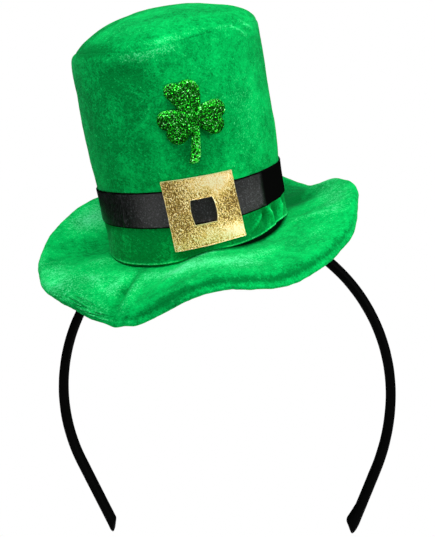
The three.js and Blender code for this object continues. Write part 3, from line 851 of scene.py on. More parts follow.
def make_crown_wall():
    """The crown's hollow wall from its lifted hem to the top seam, with values for its painted light and
    shade.
    """
    section = smooth_chain(CROWN_SECTION, CROWN_ROWS_PER_POINT, True)
    bm = spun([(SECTION_RADIUS - inset, share) for inset, share in section], CROWN_STEPS, True)
    deg, radius, share = spun_parts(bm)
    inset = SECTION_RADIUS - radius
    wall = mm("crown_wall")
    lift = around(HEM_LIFT, "lift", deg)
    foot = brim_top(deg, CROWN_FOOT_RADIUS - np.clip(inset, 0, wall)) + HEM_GAP + lift
    height = lerp(foot, around(CROWN_SHAPE, "height", deg), share)
    tuck = around(CROWN_SHAPE, "tuck", deg)
    past = fade(inset, WALL_TOP_INSET, wall - WALL_TOP_INSET)
    drawn = np.where(inset < WALL_TOP_INSET, inset * tuck / WALL_TOP_INSET, lerp(tuck, wall, past))
    place_all(bm, hat_points(deg, crown_radius(deg, height) - np.where(share > 0.5, drawn, inset), height))
    below = ribbon_middle(deg) - height
    clear = np.where(inset < 1, fade(np.abs(below), RIBBON_CLEAR, RIBBON_CLEAR_FADE), 0)
    soft = lumpy(coordinates(bm), WALL_LUMPS) * unit((1 - share) * 30) * unit(share * 14)
    puckers, large = seam_puckers(deg, height)
    push_out(bm, (soft + puckers * unit((1 - share) * 100)) * clear)
    # The wall's inner faces get painted shade
    hidden = unit((inset - 0.5) * 3) * (share < 0.97)
    # Painted shade below the ribbon, less of it below the buckle, painted shade and light in the gathers, the
    # listed marks, and painted highlights on the large puckers and the hem's lip
    deep = BELOW_RIBBON_PAINTED_SHADE * np.exp(-((deg / BELOW_RIBBON_WIDE) ** 4))
    deep -= BELOW_BUCKLE_LESS_SHADE * bell(deg, 0, BELOW_BUCKLE_WIDE)
    nap = -deep * fade(below, RIBBON_CLEAR, BELOW_RIBBON_FADE) - GATHER_PAINTED_SHADE * gather_depth(deg, height)
    nap += marks(deg, height, WALL_PAINTED_LIGHT) * (below < 0) + PUCKER_PAINTED_HIGHLIGHT * large
    nap += HEM_LIP_PAINTED_HIGHLIGHT * unit(lift * 2) * bell(share, HEM_LIP_AT, HEM_LIP_WIDE)
    return finished(bm, "crown_wall_plush", hat_matrix(), hidden=hidden, nap=nap)


def top_points(deg, out, inside):
    """Points of the crown's puffed top, whose lower face lies a wall's thickness further in."""
    wall = mm("crown_wall") * inside
    tuck = around(CROWN_SHAPE, "tuck", deg)
    seam = around(CROWN_SHAPE, "height", deg) - SEAM_LAP * unit(1 - tuck / SEAM_LAP_TUCK)
    full = unit(1 - out * out) ** around(CROWN_SHAPE, "slack", deg)
    edge = crown_radius(deg, seam) - tuck + TOP_STANDS_OUT
    return hat_points(deg, (edge - wall) * out, lerp(seam, mm("dome_top") - wall, full))


def make_crown_top():
    """The crown's puffed top, puckered along its seam, with values for its painted light and shade."""
    bm = spun(smooth_chain(TOP_SECTION, TOP_ROWS_PER_POINT), CROWN_STEPS)
    deg, out, inside = spun_parts(bm)
    out, inside = unit(out), unit(inside)
    place_all(bm, top_points(deg, out, inside))
    points = coordinates(bm)
    soft = lumpy(points, TOP_LUMPS)
    puckers, large = seam_puckers(deg, points[:, 2])
    push_out(bm, np.where(inside < 0.1, soft * (1 - out ** 30) + puckers * (1 - out ** 80), 0))
    # Painted light and shade from the listed marks, and painted highlights on the large puckers
    nap = marks(deg, out, TOP_PAINTED_LIGHT) + PUCKER_PAINTED_HIGHLIGHT * large
    # The top's lower face gets painted shade
    return finished(bm, "crown_top_plush", hat_matrix(), hidden=inside, nap=nap)


def make_ribbon():
    """The ribbon round the crown, with a value for where it is dull."""
    chain = smooth_chain([(1 + out, share) for out, share in RIBBON_SECTION], RIBBON_ROWS_PER_POINT, True)
    bm = spun(chain, RIBBON_STEPS, True)
    deg, radius, share = spun_parts(bm)
    height = lerp(around(RIBBON_EDGES, "low", deg), around(RIBBON_EDGES, "high", deg), share)
    crumple = bell(deg, CRUMPLE_AT, CRUMPLE_WIDE) * unit(1.1 - share)
    lift = RIBBON_UNEVEN * streaks(deg / 9, share, 10)
    lift += CRUMPLE_DEEP * crumple * streaks(deg / 2, share * 2, 20)
    lift += FOLD_HIGH * np.exp(-np.abs(deg - FOLD_AT) / FOLD_WIDE)
    out = RIBBON_GAP + np.maximum(lift, -RIBBON_GAP / 2) + mm("ribbon_thick") * unit(radius - 1)
    place_all(bm, hat_points(deg, crown_radius(deg, height) + out, height))
    lap = fade(deg, LAP_FROM, LAP_FADE) * unit((LAP_TO - deg) / LAP_END_FADE)
    dull = np.maximum(lap, fade(np.abs(share - 0.5), RIBBON_DULL_FROM, RIBBON_DULL_FADE))
    return finished(bm, "ribbon_satin", hat_matrix(), dull=dull)


def trim_points(at, height, base, x, y, z):
    """Points of a trim bent round the crown: across and up from its middle, and out from a base radius."""
    return hat_points(at + np.degrees(x / base), base + z, height + y)


def thicken(bm):
    """Gives a flat sheet a front, one unit above it, and puts its sides last, in the same order each run."""
    front = bmesh.ops.extrude_face_region(bm, geom=bm.faces[:], use_keep_orig=True)["geom"]
    bmesh.ops.translate(bm, verts=[v for v in front if isinstance(v, bmesh.types.BMVert)], vec=(0, 0, 1))

    def rank(face):
        x, y, z = face.calc_center_median()
        return (1, x, y) if 0.1 < z < 0.9 else (0,)

    for index, face in enumerate(sorted(bm.faces, key=rank)):
        face.index = index
    bm.faces.sort()


def make_buckle():
    """The buckle with its window, bent round the crown, with a value for where it is smooth and where light
    or shade is painted on it.
    """
    bm = bmesh.new()
    bmesh.ops.create_grid(bm, x_segments=3, y_segments=3, size=BUCKLE_GRID)
    middle = min(bm.faces, key=lambda face: face.calc_center_median().length)
    bmesh.ops.delete(bm, geom=[middle], context="FACES")
    bmesh.ops.subdivide_edges(bm, edges=bm.edges, cuts=BUCKLE_CUTS, use_grid_fill=True)
    thicken(bm)
    x, y, front = coordinates(bm).T
    half = np.array([mm("buckle_width"), mm("buckle_depth")]) / 2
    window = np.array([mm("window_width"), mm("window_depth")]) / 2
    across, up = (
        np.sign(v) * np.interp(np.abs(v), (0, WINDOW_GRID, BUCKLE_GRID), (0, near, far))
        for v, near, far in zip((x, y), window, half)
    )
    bow = unit(1 - (up / window[1]) ** 2) * unit(2 - np.abs(x) * 1.5) * unit(np.abs(x) * 2)
    across = across + np.sign(x) * WINDOW_BULGE * bow
    flat = np.stack([across, up, 0 * up], axis=1)
    off = np.maximum(np.abs(x), np.abs(y))
    edge = off > BUCKLE_GRID - 0.001
    cut = BUCKLE_EDGE_UNEVEN * lumps(flat, 4, 11) * edge
    right, top = (v[:, None] / (2 * BUCKLE_GRID) + 0.5 for v in (x, y))
    lower_left, lower_right, upper_left, upper_right = np.array(BUCKLE_CORNERS)
    skew = lerp(lerp(lower_left, lower_right, right), lerp(upper_left, upper_right, right), top)
    zero = np.zeros_like(up)
    foot = crown_radius(zero, BUCKLE_HEIGHT + zero)
    stand = np.maximum(0, crown_radius(zero, BUCKLE_HEIGHT + up) - foot)
    # Painted light and shade on the gilt, which also smooths or deepens the grain
    smooth = np.clip(marks(x / BUCKLE_GRID, y / BUCKLE_GRID, BUCKLE_SMOOTH_AND_PAINTED_LIGHT), -1, 1.5)
    grain = np.abs(lumpy(flat, COARSE_GRAIN)) + lumpy(flat, FINE_GRAIN)
    relief = grain * np.maximum(1 - 0.7 * smooth, 0) * (1 - 0.8 * edge) + lumpy(flat, BUCKLE_WAVES)
    out = stand + front * (mm("buckle_thick") - GRAIN_DEPTH + relief)
    base = foot[0] + RIBBON_GAP + mm("ribbon_thick") + BUCKLE_GAP
    across = across * (1 + cut) + skew[:, 0]
    up = up * (1 + cut) + skew[:, 1]
    place_all(bm, trim_points(0, BUCKLE_HEIGHT, base, across, up, out))
    # The cut edges and the window's edges get a painted highlight
    pale = edge | (off < WINDOW_GRID + 0.001)
    return finished(bm, "buckle_gilt", hat_matrix(), smooth=np.where(pale, BUCKLE_EDGE_PAINTED_HIGHLIGHT, smooth))


def leaflet_outline(turn, lobe_at, lobe_off, lobe, lean):
    """Heart outline of a leaflet, its point just past the middle of the shamrock."""
    rise = lobe_at + LEAFLET_LAP
    start = math.atan2(rise, lobe_off) - math.asin(lobe / math.hypot(rise, lobe_off)) - math.pi / 2
    notch = math.acos(lobe_off / lobe)
    angle = np.linspace(start, math.pi - notch, 30)
    right = np.stack([lobe_off + lobe * np.cos(angle), lobe_at + lobe * np.sin(angle)], axis=1)
    tip = np.array((0, -LEAFLET_LAP))
    side = right[0] - tip
    along = np.linspace(0, 1, 13)[1:-1, None]
    bulge = LEAFLET_BULGE * np.sin(np.pi * along) * np.array((side[1], -side[0])) / np.hypot(*side)
    right = np.concatenate([tip + side * along + bulge, right])
    heart = np.concatenate([[tip], right, (right * (-1, 1))[-2::-1]])
    heart[:, 1] += heart[:, 0] * lean
    cos, sin = math.cos(math.radians(turn)), math.sin(math.radians(turn))
    return heart @ np.array([[cos, -sin], [sin, cos]])


def stem_outline():
    """Outline of the stem, down its left side and up its right one."""
    stem = smooth_chain(STEM, 6)
    left = [(across - wide / 2, up) for across, up, wide in stem]
    right = [(across + wide / 2, up) for across, up, wide in stem]
    return np.array(left + right[::-1])


def depth_inside(points, outline):
    """Distance of points from an outline, positive inside, and the nearest place on it."""
    here, after = outline, np.roll(outline, -1, axis=0)
    step = after - here
    share = ((points[:, None] - here) * step).sum(2) / (step * step).sum(1)
    near = here + unit(share)[:, :, None] * step
    away = np.linalg.norm(points[:, None] - near, axis=2)
    best = away.argmin(1)
    rows = np.arange(len(points))
    px, py = points[:, :1], points[:, 1:]
    crosses = (here[:, 1] > py) != (after[:, 1] > py)
    rise = np.where(step[:, 1] == 0, 1, step[:, 1])
    left = px < here[:, 0] + (py - here[:, 1]) * step[:, 0] / rise
    inside = (crosses & left).sum(1) % 2 == 1
    return np.where(inside, 1, -1) * away[rows, best], near[rows, best]


def shamrock_depth(points):
    """Depth in the leaflet or stem that a point is deepest in, and the nearest place on its outline."""
    outlines = [leaflet_outline(*row) for row in LEAFLETS] + [stem_outline()]
    found = [depth_inside(points, outline) for outline in outlines]
    depths = np.stack([depth for depth, near in found])
    best = depths.argmax(0)
    rows = np.arange(len(points))
    return depths[best, rows], np.stack([near for depth, near in found])[best, rows]


def make_shamrock():
    """The shamrock, cut from a fine grid, puffed, bent round the crown and strewn with flakes."""
    bm = bmesh.new()
    wide, tall = SHAMROCK_FIELD
    columns, rows = int(wide / SHAMROCK_CELL), int(tall / SHAMROCK_CELL)
    bmesh.ops.create_grid(bm, x_segments=columns, y_segments=rows, size=1)
    bmesh.ops.scale(bm, vec=(wide / 2, tall / 2, 1), verts=bm.verts)
    depth = shamrock_depth(coordinates(bm)[:, :2])[0]
    outside = [vert for vert, deep in zip(bm.verts, depth) if deep < -SHAMROCK_CELL / 2]
    bmesh.ops.delete(bm, geom=outside, context="VERTS")
    loose = [vert for vert in bm.verts if not vert.link_faces]
    bmesh.ops.delete(bm, geom=loose, context="VERTS")
    near = shamrock_depth(coordinates(bm)[:, :2])[1]
    for vert, place in zip(bm.verts, near):
        if vert.is_boundary:
            vert.co = (*place, 0)
    thicken(bm)
    x, y, front = coordinates(bm).T
    depth = unit(shamrock_depth(np.stack([x, y], axis=1))[0] / SHAMROCK_PUFF)
    puff = lerp(SHAMROCK_EDGE, 1, np.sqrt(1 - (1 - depth) ** 2))
    base = crown_radius(np.full_like(x, SHAMROCK_AT), SHAMROCK_HEIGHT + y) + SHAMROCK_GAP
    out = front * puff * (mm("shamrock_thick") - FLAKE_DEPTH)
    place_all(bm, trim_points(SHAMROCK_AT, SHAMROCK_HEIGHT, base, x, y, out))
    add_flakes(bm, front > 0.5)
    return finished(bm, "shamrock_glitter", hat_matrix())


def stem_painted_light(middle):
    """Painted light on a flake on the stem: 0 off it, and more and more from its left edge to its right one.
    """
    across = (math.atan2(middle.x, -middle.y) - math.radians(SHAMROCK_AT)) * middle.xy.length
    up = middle.z - SHAMROCK_HEIGHT
    rows = STEM[::-1]
    off = across - np.interp(up, [row[1] for row in rows], [row[0] for row in rows])
    on_stem = up < STEM_TOP and abs(off) < STEM_HALF_WIDTH
    return STEM_PAINTED_LIGHT + STEM_PAINTED_LIGHT_RISE * off if on_stem else 0


def add_flakes(bm, on_top):
    """Strews flat six-sided glitter flakes over the top of the foam, each tilted its own way."""
    draw = np.random.default_rng(FLAKE_SEED)
    tone = bm.verts.layers.float.new("tone")
    bm.verts.index_update()
    faces = [face for face in bm.faces if all(on_top[vert.index] for vert in face.verts)]
    faces += [face for face in bm.faces if len({bool(on_top[vert.index]) for vert in face.verts}) == 2]
    areas = np.array([face.calc_area() for face in faces])
    count = int(areas.sum() * FLAKES_PER_MM2)
    places = []
    for index in draw.choice(len(faces), count, p=areas / areas.sum()):
        face = faces[index]
        weights = draw.dirichlet(np.ones(len(face.verts)))
        middle = sum((vert.co * weight for vert, weight in zip(face.verts, weights)), Vector())
        normal = (face.normal + Vector(draw.normal(0, FLAKE_TILT, 3))).normalized()
        # Flakes facing up and those on the stem get painted light
        painted_lit = max(stem_painted_light(middle), UPWARD_PAINTED_LIGHT * unit(face.normal.z * 1.5 - 0.2))
        places.append((middle + face.normal * draw.uniform(0, FLAKE_LIFT), normal, painted_lit))
    hexagon = bmesh.new()
    bmesh.ops.create_circle(hexagon, cap_ends=True, segments=6, radius=1)
    flat = bpy.data.meshes.new("flake")
    hexagon.to_mesh(flat)
    hexagon.free()
    for middle, normal, painted_lit in places:
        tilt = normal.to_track_quat("Z", "Y").to_matrix().to_4x4()
        turn = tilt @ Matrix.Rotation(draw.uniform(0, 6), 4, "Z")
        flake = flat.copy()
        flake.transform(Matrix.Translation(middle) @ turn @ Matrix.Scale(draw.uniform(*FLAKE_RADIUS), 4))
        first = len(bm.verts)
        bm.from_mesh(flake)
        bm.verts.ensure_lookup_table()
        shade = lerp(lerp(*FLAKE_TONES, painted_lit), 1, draw.uniform() ** (2 - painted_lit))
        for vert in bm.verts[first:]:
            vert[tone] = shade
        bpy.data.meshes.remove(flake)
    bpy.data.meshes.remove(flat)


def band_path():
    """Points of the head band's centre line from the left end over the arch to the right end."""
    centre = arch_centre()

    def leg(side, bend, turn, straight):
        angle = np.radians(np.linspace(turn, 0, 60))
        middle = side * (ARCH_HALF_WIDTH - bend)
        arc = np.stack([middle + side * bend * np.cos(angle), centre - bend * np.sin(angle)], axis=1)
        turn = math.radians(turn)
        end = arc[0] + straight * np.array([-side * math.sin(turn), -math.cos(turn)])
        return np.concatenate([[end], arc])

    angle = np.linspace(math.pi, 0, 240)
    arch = np.stack([ARCH_HALF_WIDTH * np.cos(angle), centre + ARCH_RISE * np.sin(angle)], axis=1)
    left, right = leg(-1, *LEG_LEFT), leg(1, *LEG_RIGHT)
    return np.concatenate([left[:-1], arch, right[::-1][1:]])


def make_head_band():
    """The covered band, swept along its arch and legs to its slanted ends."""
    path = band_path()
    along = np.concatenate([[0], np.cumsum(np.linalg.norm(np.diff(path, axis=0), axis=1))])
    length = along[-1]
    left, right = (np.array(smooth_chain(rows, 5)) for rows in (BAND_LEFT_END, BAND_RIGHT_END))
    stations = list(left[:, 0])
    stations += list(np.linspace(left[-1, 0], length - right[-1, 0], BAND_ROWS)[1:-1])
    stations += list(length - right[::-1, 0])
    chain = [(1, station) for station in stations]
    chain[0] = (0, 0)
    chain[-1] = (0, length)
    bm = spun(chain, BAND_SIDES)
    deg, radius, station = spun_parts(bm)
    share = station / length
    full = lerp(mm("band_thick"), np.where(share < 0.5, *BAND_THICK_ENDS), (1 - 2 * share) ** 2)
    inner, outer, wide = (
        np.where(
            share < 0.5,
            np.interp(station, left[:, 0], left[:, column]),
            np.interp(length - station, right[:, 0], right[:, column]),
        )
        for column in (1, 2, 3)
    )
    centre, ahead, behind = (
        np.stack([np.interp(station + step, along, side) for side in path.T], axis=1)
        for step in (0, 0.5, -0.5)
    )
    tangent = (ahead - behind) / np.linalg.norm(ahead - behind, axis=1)[:, None]
    cos, sin = np.cos(np.radians(deg)), np.sin(np.radians(deg))
    square = (np.abs(cos) ** BAND_SQUARENESS + np.abs(sin) ** BAND_SQUARENESS) ** (-1 / BAND_SQUARENESS)
    out = (inner - outer) / 2 + cos * square * np.maximum(full - inner - outer, 0) / 2 * (radius > 0.5)
    across = sin * square * wide * mm("band_wide") / 2 * (radius > 0.5)
    x, z = centre[:, 0] - tangent[:, 1] * out, centre[:, 1] + tangent[:, 0] * out
    place_all(bm, np.stack([x, across, z], axis=1))
    push_out(bm, lumpy(coordinates(bm), BAND_LUMPS))
    return finished(bm, "head_band_cover", Matrix.Scale(MM, 4))


# Finishes


class Shade:
    """A socket of a material: Python's operators on it add Math nodes."""

    def __init__(self, tree, socket=None):
        self.tree = tree
        self.socket = socket

    def node(self, kind, settings=None, sockets=None, output=0):
        """Adds any other node, with its settings first and then the values or links of its sockets."""
        made = self.tree.nodes.new(kind)
        for name, value in (settings or {}).items():
            setattr(made, name, value)
        for key, value in (sockets or {}).items():
            if isinstance(value, Shade):
                self.tree.links.new(value.socket, made.inputs[key])
            else:
                made.inputs[key].default_value = value
        return Shade(self.tree, made.outputs[output] if made.outputs else None)

    def math(self, operation, first, second=0.0, clamp=False):
        settings = {"operation": operation, "use_clamp": clamp}
        return self.node("ShaderNodeMath", settings, {0: first, 1: second})

    def __add__(self, other):
        return self.math("ADD", self, other)

    __radd__ = __add__

    def __sub__(self, other):
        return self.math("SUBTRACT", self, other)

    def __rsub__(self, other):
        return self.math("SUBTRACT", other, self)

    def __mul__(self, other):
        return self.math("MULTIPLY", self, other)

    __rmul__ = __mul__

    def at_least(self, other):
        return self.math("MAXIMUM", self, other)

    def clamped(self):
        return self.math("ADD", self, 0.0, True)

    def noise(self, per_metre, detail=2.0, rough=0.5, distortion=0.0):
        return self.node("ShaderNodeTexNoise", {}, {
            "Vector": self,
            "Scale": per_metre,
            "Detail": detail,
            "Roughness": rough,
            "Distortion": distortion,
        })

    def mix(self, low, high):
        """A colour between two, by this value."""
        return self.node("ShaderNodeMix", {"data_type": "RGBA"}, {0: self, 6: low, 7: high}, 2)

    def between(self, low, high):
        """This value's place between two others, from 0 to 1."""
        sockets = {"Value": self, "From Min": low, "From Max": high}
        return self.node("ShaderNodeMapRange", {"interpolation_type": "SMOOTHSTEP"}, sockets)

    def bump(self, strength, distance):
        return self.node("ShaderNodeBump", {}, {"Strength": strength, "Distance": distance, "Height": self})


def new_finish(name):
    """A material with no nodes yet, and its Object coordinates."""
    material = bpy.data.materials.new(name)
    material.use_nodes = True
    material.node_tree.nodes.clear()
    return material, Shade(material.node_tree).node("ShaderNodeTexCoord", {}, {}, 3)


def surface(shade, sockets):
    """Ends a material in a Principled shader."""
    shader = shade.node("ShaderNodeBsdfPrincipled", {}, sockets)
    shade.node("ShaderNodeOutputMaterial", {}, {"Surface": shader})


def value(shade, name):
    """A named value of the mesh's vertices."""
    return shade.node("ShaderNodeAttribute", {"attribute_name": name}, {}, 2)


def stroked(place, turn, scale):
    """Coordinates turned and stretched, for noise drawn out into strokes."""
    sockets = {"Vector": place, "Rotation": turn, "Scale": scale}
    return place.node("ShaderNodeMapping", {"vector_type": "TEXTURE"}, sockets)


# Two ways that the pile's strokes are turned, in radians, and how far they are drawn out
PILE_TURNS = ((0.5, 0.9, 0.2), (-0.5, -0.7, 0.4))
PILE_STRETCH = (1, 1, 2.4)


def plush():
    """Short-pile velour: patches where the pile lies this way or that, fine pale strokes of its tips, and
    painted light and shade.
    """
    if "plush_pile" in bpy.data.materials:
        return bpy.data.materials["plush_pile"]
    material, place = new_finish("plush_pile")
    nap = value(place, "nap")
    patches = place.noise(60.0, 2.0, 0.55, 0.4)
    tufts = place.noise(420.0, 3.0, 0.6)
    left, right = (stroked(place, turn, PILE_STRETCH).noise(1900.0, 2.0, 0.6) for turn in PILE_TURNS)
    strokes = left.at_least(right)
    # The pile's lie and pale tips follow random noise, raised by painted light and lowered by painted shade
    lie = (patches * 0.5 + tufts * 0.35 + strokes * 0.5).between(0.48, 0.98)
    tips = ((strokes - 0.65) * 4.6 + (tufts - 0.5) * 0.9 + nap.at_least(-0.2) * 0.75 - 0.12).clamped()
    deep = strokes.between(0.4, 0.72).mix(colour("plush_deepest"), colour("plush_deep"))
    pile = (lie + nap * 0.35).clamped().mix(deep, colour("plush_bright"))
    pale = (tips * 0.55).mix(pile, colour("plush_tips"))
    surface(place, {
        # Faces inside the crown get painted shade
        "Base Color": value(place, "hidden").mix(pale, colour("inner_painted_shade")),
        "Roughness": 1.0,
        "Specular IOR Level": 0.0,
        "Sheen Weight": 0.16,
        "Sheen Roughness": 0.4,
        "Sheen Tint": colour("plush_sheen"),
        "Normal": (tufts * 0.6 + strokes).bump(0.42, 0.0006),
    })
    return material


def satin():
    """Satin ribbon: a smooth face with fine threads and painted glints, and a dull black back."""
    material, place = new_finish("satin_weave")
    threads = place.noise(2600.0, 2.0, 0.5)
    slubs = place.noise(800.0, 2.0, 0.6)
    cloud = place.noise(160.0, 2.0, 0.5)
    # Painted glints: random paler specks
    painted_glints = place.noise(1500.0, 3.0, 0.7).between(0.5, 0.72)
    face = place.node("ShaderNodeBsdfPrincipled", {}, {
        "Base Color": painted_glints.mix(colour("satin"), colour("satin_painted_glints")),
        "Roughness": 0.26 + cloud * 0.08 + threads * 0.1,
        "Specular IOR Level": 0.32,
        "Normal": (threads + slubs * 0.5).bump(0.5, 0.00025),
    })
    back = place.node("ShaderNodeBsdfPrincipled", {}, {
        "Base Color": colour("satin"),
        "Roughness": 1.0,
        "Specular IOR Level": 0.0,
    })
    mixed = place.node("ShaderNodeMixShader", {}, {0: value(place, "dull"), 1: face, 2: back})
    place.node("ShaderNodeOutputMaterial", {}, {"Surface": mixed})
    return material


def gilt():
    """Gilt leathercloth: a metal foil over finely creased grain, brown in the creases, with painted
    highlights and painted shade.
    """
    material, place = new_finish("gilt_grain")
    smooth = value(place, "smooth")
    creases = stroked(place, (0, -0.6, 0), (1, 1, 1.5)).noise(2300.0, 3.0, 0.65, 0.3)
    patches = place.noise(120.0, 2.0, 0.5)
    # Painted highlights and shade from the mesh's value lighten or darken the gilt
    raised = (creases - 0.5) * (3 - smooth * 1.3) + patches * 0.3 + smooth * 0.22 + 0.67
    tint = raised.between(0.6, 0.95).mix(colour("gilt_deep"), colour("gilt"))
    tint = raised.between(0.85, 1.25).mix(tint, colour("gilt_bright"))
    surface(place, {
        "Base Color": tint,
        "Metallic": 0.42,
        "Roughness": 0.42,
        "Normal": (creases * (1 - smooth * 0.6)).bump(0.9, 0.0005),
    })
    return material


def glitter():
    """Glitter foam: dark matt foam under flakes of many greens, lighter with painted light, a few pale ones
    painted in as glints.
    """
    material, place = new_finish("glitter_flakes")
    tone = value(place, "tone")
    # Each flake's tone is partly random and partly painted light
    flake = tone.between(0.01, 0.1)
    tint = tone.between(0.15, 0.9).mix(colour("glitter_deep"), colour("glitter_bright"))
    # The palest tones are painted glints
    tint = tone.between(0.8, 0.95).mix(tint, colour("glitter_painted_glints"))
    surface(place, {
        "Base Color": flake.mix(colour("foam"), tint),
        "Metallic": flake * 0.4,
        "Roughness": 0.9 - flake * 0.62,
        "Specular IOR Level": 0.1,
    })
    return material


def cover():
    """Matt cloth drawn tight over the head band."""
    material, place = new_finish("band_cloth")
    weave = place.noise(1700.0, 2.0, 0.55)
    surface(place, {
        "Base Color": weave.mix(colour("cover"), colour("cover_threads")),
        "Roughness": 0.6,
        "Specular IOR Level": 0.015,
        "Normal": weave.bump(0.3, 0.0003),
    })
    return material


# Operators


class HatOperator:
    """What the operators share"""

    bl_options = {"REGISTER", "UNDO"}


class MakeBrim(HatOperator, Operator):
    """Makes the padded plush brim"""

    bl_idname = "top_hat.brim"
    bl_label = "Brim"

    def execute(self, context):
        made = dressed(make_brim(), "brim", plush())
        return {"FINISHED"}


class MakeCrownWall(HatOperator, Operator):
    """Makes the plush wall of the crown"""

    bl_idname = "top_hat.crown_wall"
    bl_label = "Crown wall"

    def execute(self, context):
        made = dressed(make_crown_wall(), "crown_wall", plush())
        return {"FINISHED"}


class MakeCrownTop(HatOperator, Operator):
    """Makes the puffed plush top of the crown"""

    bl_idname = "top_hat.crown_top"
    bl_label = "Crown top"

    def execute(self, context):
        made = dressed(make_crown_top(), "crown_top", plush())
        return {"FINISHED"}


class MakeRibbon(HatOperator, Operator):
    """Makes the satin ribbon round the crown"""

    bl_idname = "top_hat.ribbon"
    bl_label = "Ribbon"

    def execute(self, context):
        made = dressed(make_ribbon(), "hat_band", satin())
        return {"FINISHED"}


class MakeBuckle(HatOperator, Operator):
    """Makes the gilt square buckle"""

    bl_idname = "top_hat.buckle"
    bl_label = "Buckle"

    def execute(self, context):
        made = dressed(make_buckle(), "buckle", gilt())
        return {"FINISHED"}


class MakeShamrock(HatOperator, Operator):
    """Makes the puffed glitter shamrock"""

    bl_idname = "top_hat.shamrock"
    bl_label = "Shamrock"

    def execute(self, context):
        made = dressed(make_shamrock(), "shamrock", glitter())
        return {"FINISHED"}


class MakeHeadBand(HatOperator, Operator):
    """Makes the cloth-covered head band"""

    bl_idname = "top_hat.head_band"
    bl_label = "Head band"

    def execute(self, context):
        dressed(make_head_band(), "head_band", cover())
        return {"FINISHED"}


# The camera's place and lens, which give the photo's view
CAMERA_TARGET = Vector((-0.003622, 0, -0.017982))
CAMERA_AZIMUTH = 5
CAMERA_ELEVATION = 13.4
CAMERA_DISTANCE = 0.637
CAMERA_SENSOR = 36
CAMERA_LENS = 98.94
# Softboxes: name, property with the power, sides, azimuth and elevation
LIGHT_DISTANCE = 1.1
LIGHTS = (
    ("top_light", "top_power", (0.5, 0.5), -24, 66),
    ("key_light", "key_power", (0.5, 0.6), 74, 25),
    ("strip_light", "strip_power", (0.3, 0.5), -40, -12),
    ("fill_light", "fill_power", (0.5, 0.35), 20, -12),
)
WHITE = (1, 1, 1, 1)
FLOOR_COLOUR = (0.85, 0.85, 0.85, 1)
FLOOR_SIDES = 128
# Strength of the sky below the hat
SKY_LEAST = 0.008


def towards(azimuth, elevation):
    """Unit vector from the hat towards a place round it."""
    a, e = math.radians(azimuth), math.radians(elevation)
    return Vector((math.sin(a) * math.cos(e), -math.cos(a) * math.cos(e), math.sin(e)))


def aimed(data, azimuth, elevation, distance):
    """Puts a light or camera round the hat, looking at it."""
    made = bpy.data.objects.new(data.name, data)
    bpy.context.scene.collection.objects.link(made)
    away = towards(azimuth, elevation)
    made.location = CAMERA_TARGET + away * distance
    made.rotation_euler = (-away).to_track_quat("-Z", "Y").to_euler()
    return made


def make_camera():
    camera = bpy.data.cameras.new("camera")
    camera.sensor_width = CAMERA_SENSOR
    camera.lens = CAMERA_LENS
    bpy.context.scene.camera = aimed(camera, CAMERA_AZIMUTH, CAMERA_ELEVATION, CAMERA_DISTANCE)


def make_lights(stage):
    for name, power, sides, azimuth, elevation in LIGHTS:
        light = bpy.data.lights.new(name, "AREA")
        light.shape = "RECTANGLE"
        light.energy = getattr(stage, power)
        light.size, light.size_y = sides
        aimed(light, azimuth, elevation, LIGHT_DISTANCE)


def make_floor(stage):
    bm = bmesh.new()
    bmesh.ops.create_circle(bm, cap_ends=True, segments=FLOOR_SIDES, radius=stage.floor_radius)
    floor = finished(bm, "floor", Matrix.Translation((0, 0, CAD_BOX[0].z - stage.floor_drop)))
    material, place = new_finish("pale_floor")
    surface(place, {
        "Base Color": FLOOR_COLOUR,
        "Roughness": 0.9,
        "Emission Color": WHITE,
        "Emission Strength": stage.floor_glow,
    })
    floor.data.materials.append(material)


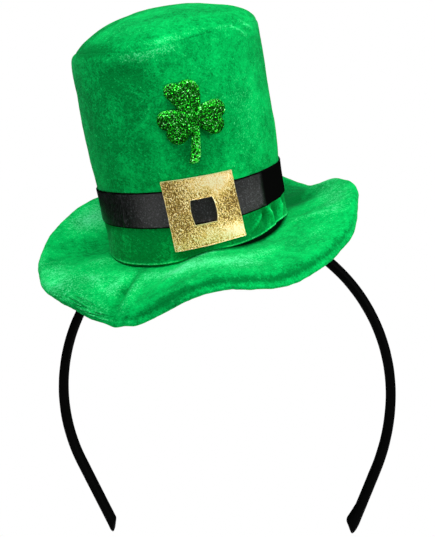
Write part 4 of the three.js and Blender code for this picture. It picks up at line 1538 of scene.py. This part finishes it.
def make_sky(stage):
    """A white background for the camera, and an even light from above for the hat."""
    world = bpy.data.worlds.new("studio")
    world.use_nodes = True
    world.node_tree.nodes.clear()
    seen = Shade(world.node_tree).node("ShaderNodeLightPath")
    ways = seen.node("ShaderNodeSeparateXYZ", {}, {0: seen.node("ShaderNodeTexCoord")}, 2)
    even = ways.between(-0.1, 1.0) * stage.sky + SKY_LEAST
    sky = seen.node("ShaderNodeBackground", {}, {"Strength": seen * (1 - even) + even, "Color": WHITE})
    sky.node("ShaderNodeOutputWorld", {}, {"Surface": sky})
    bpy.context.scene.world = world


class MakeStage(HatOperator, Operator):
    """Makes the pale floor, the lights and the camera"""

    bl_idname = "top_hat.stage"
    bl_label = "Stage"

    def execute(self, context):
        stage = context.scene.hat_stage
        make_camera()
        make_lights(stage)
        make_floor(stage)
        make_sky(stage)
        context.scene.view_settings.view_transform = "Standard"
        return {"FINISHED"}


MAKERS = (
    MakeBrim, MakeCrownWall, MakeCrownTop, MakeRibbon, MakeBuckle, MakeShamrock, MakeHeadBand, MakeStage,
)


class HatPanel(Panel):
    """Lists the makers of the hat's pieces"""

    bl_idname = "VIEW3D_PT_top_hat"
    bl_label = "Top Hat"
    bl_space_type = "VIEW_3D"
    bl_region_type = "UI"
    bl_category = "Top Hat"

    def draw(self, context):
        for maker in MAKERS:
            self.layout.operator(maker.bl_idname)
        for group in (context.scene.hat_sizes, context.scene.hat_colours, context.scene.hat_stage):
            box = self.layout.box()
            for name in group.__annotations__:
                box.prop(group, name)


GROUPS = {"hat_sizes": HatSizes, "hat_colours": HatColours, "hat_stage": HatStage}


def register():
    for name, group in GROUPS.items():
        bpy.utils.register_class(group)
        setattr(bpy.types.Scene, name, PointerProperty(type=group))
    for maker in MAKERS:
        bpy.utils.register_class(maker)
    bpy.utils.register_class(HatPanel)


def unregister():
    bpy.utils.unregister_class(HatPanel)
    for maker in reversed(MAKERS):
        bpy.utils.unregister_class(maker)
    for name, group in GROUPS.items():
        delattr(bpy.types.Scene, name)
        bpy.utils.unregister_class(group)


def main():
    register()
    bpy.ops.top_hat.brim()
    bpy.ops.top_hat.crown_wall()
    bpy.ops.top_hat.crown_top()
    bpy.ops.top_hat.ribbon()
    bpy.ops.top_hat.buckle()
    bpy.ops.top_hat.shamrock()
    bpy.ops.top_hat.head_band()
    bpy.ops.top_hat.stage()


if __name__ == "__main__":
    main()
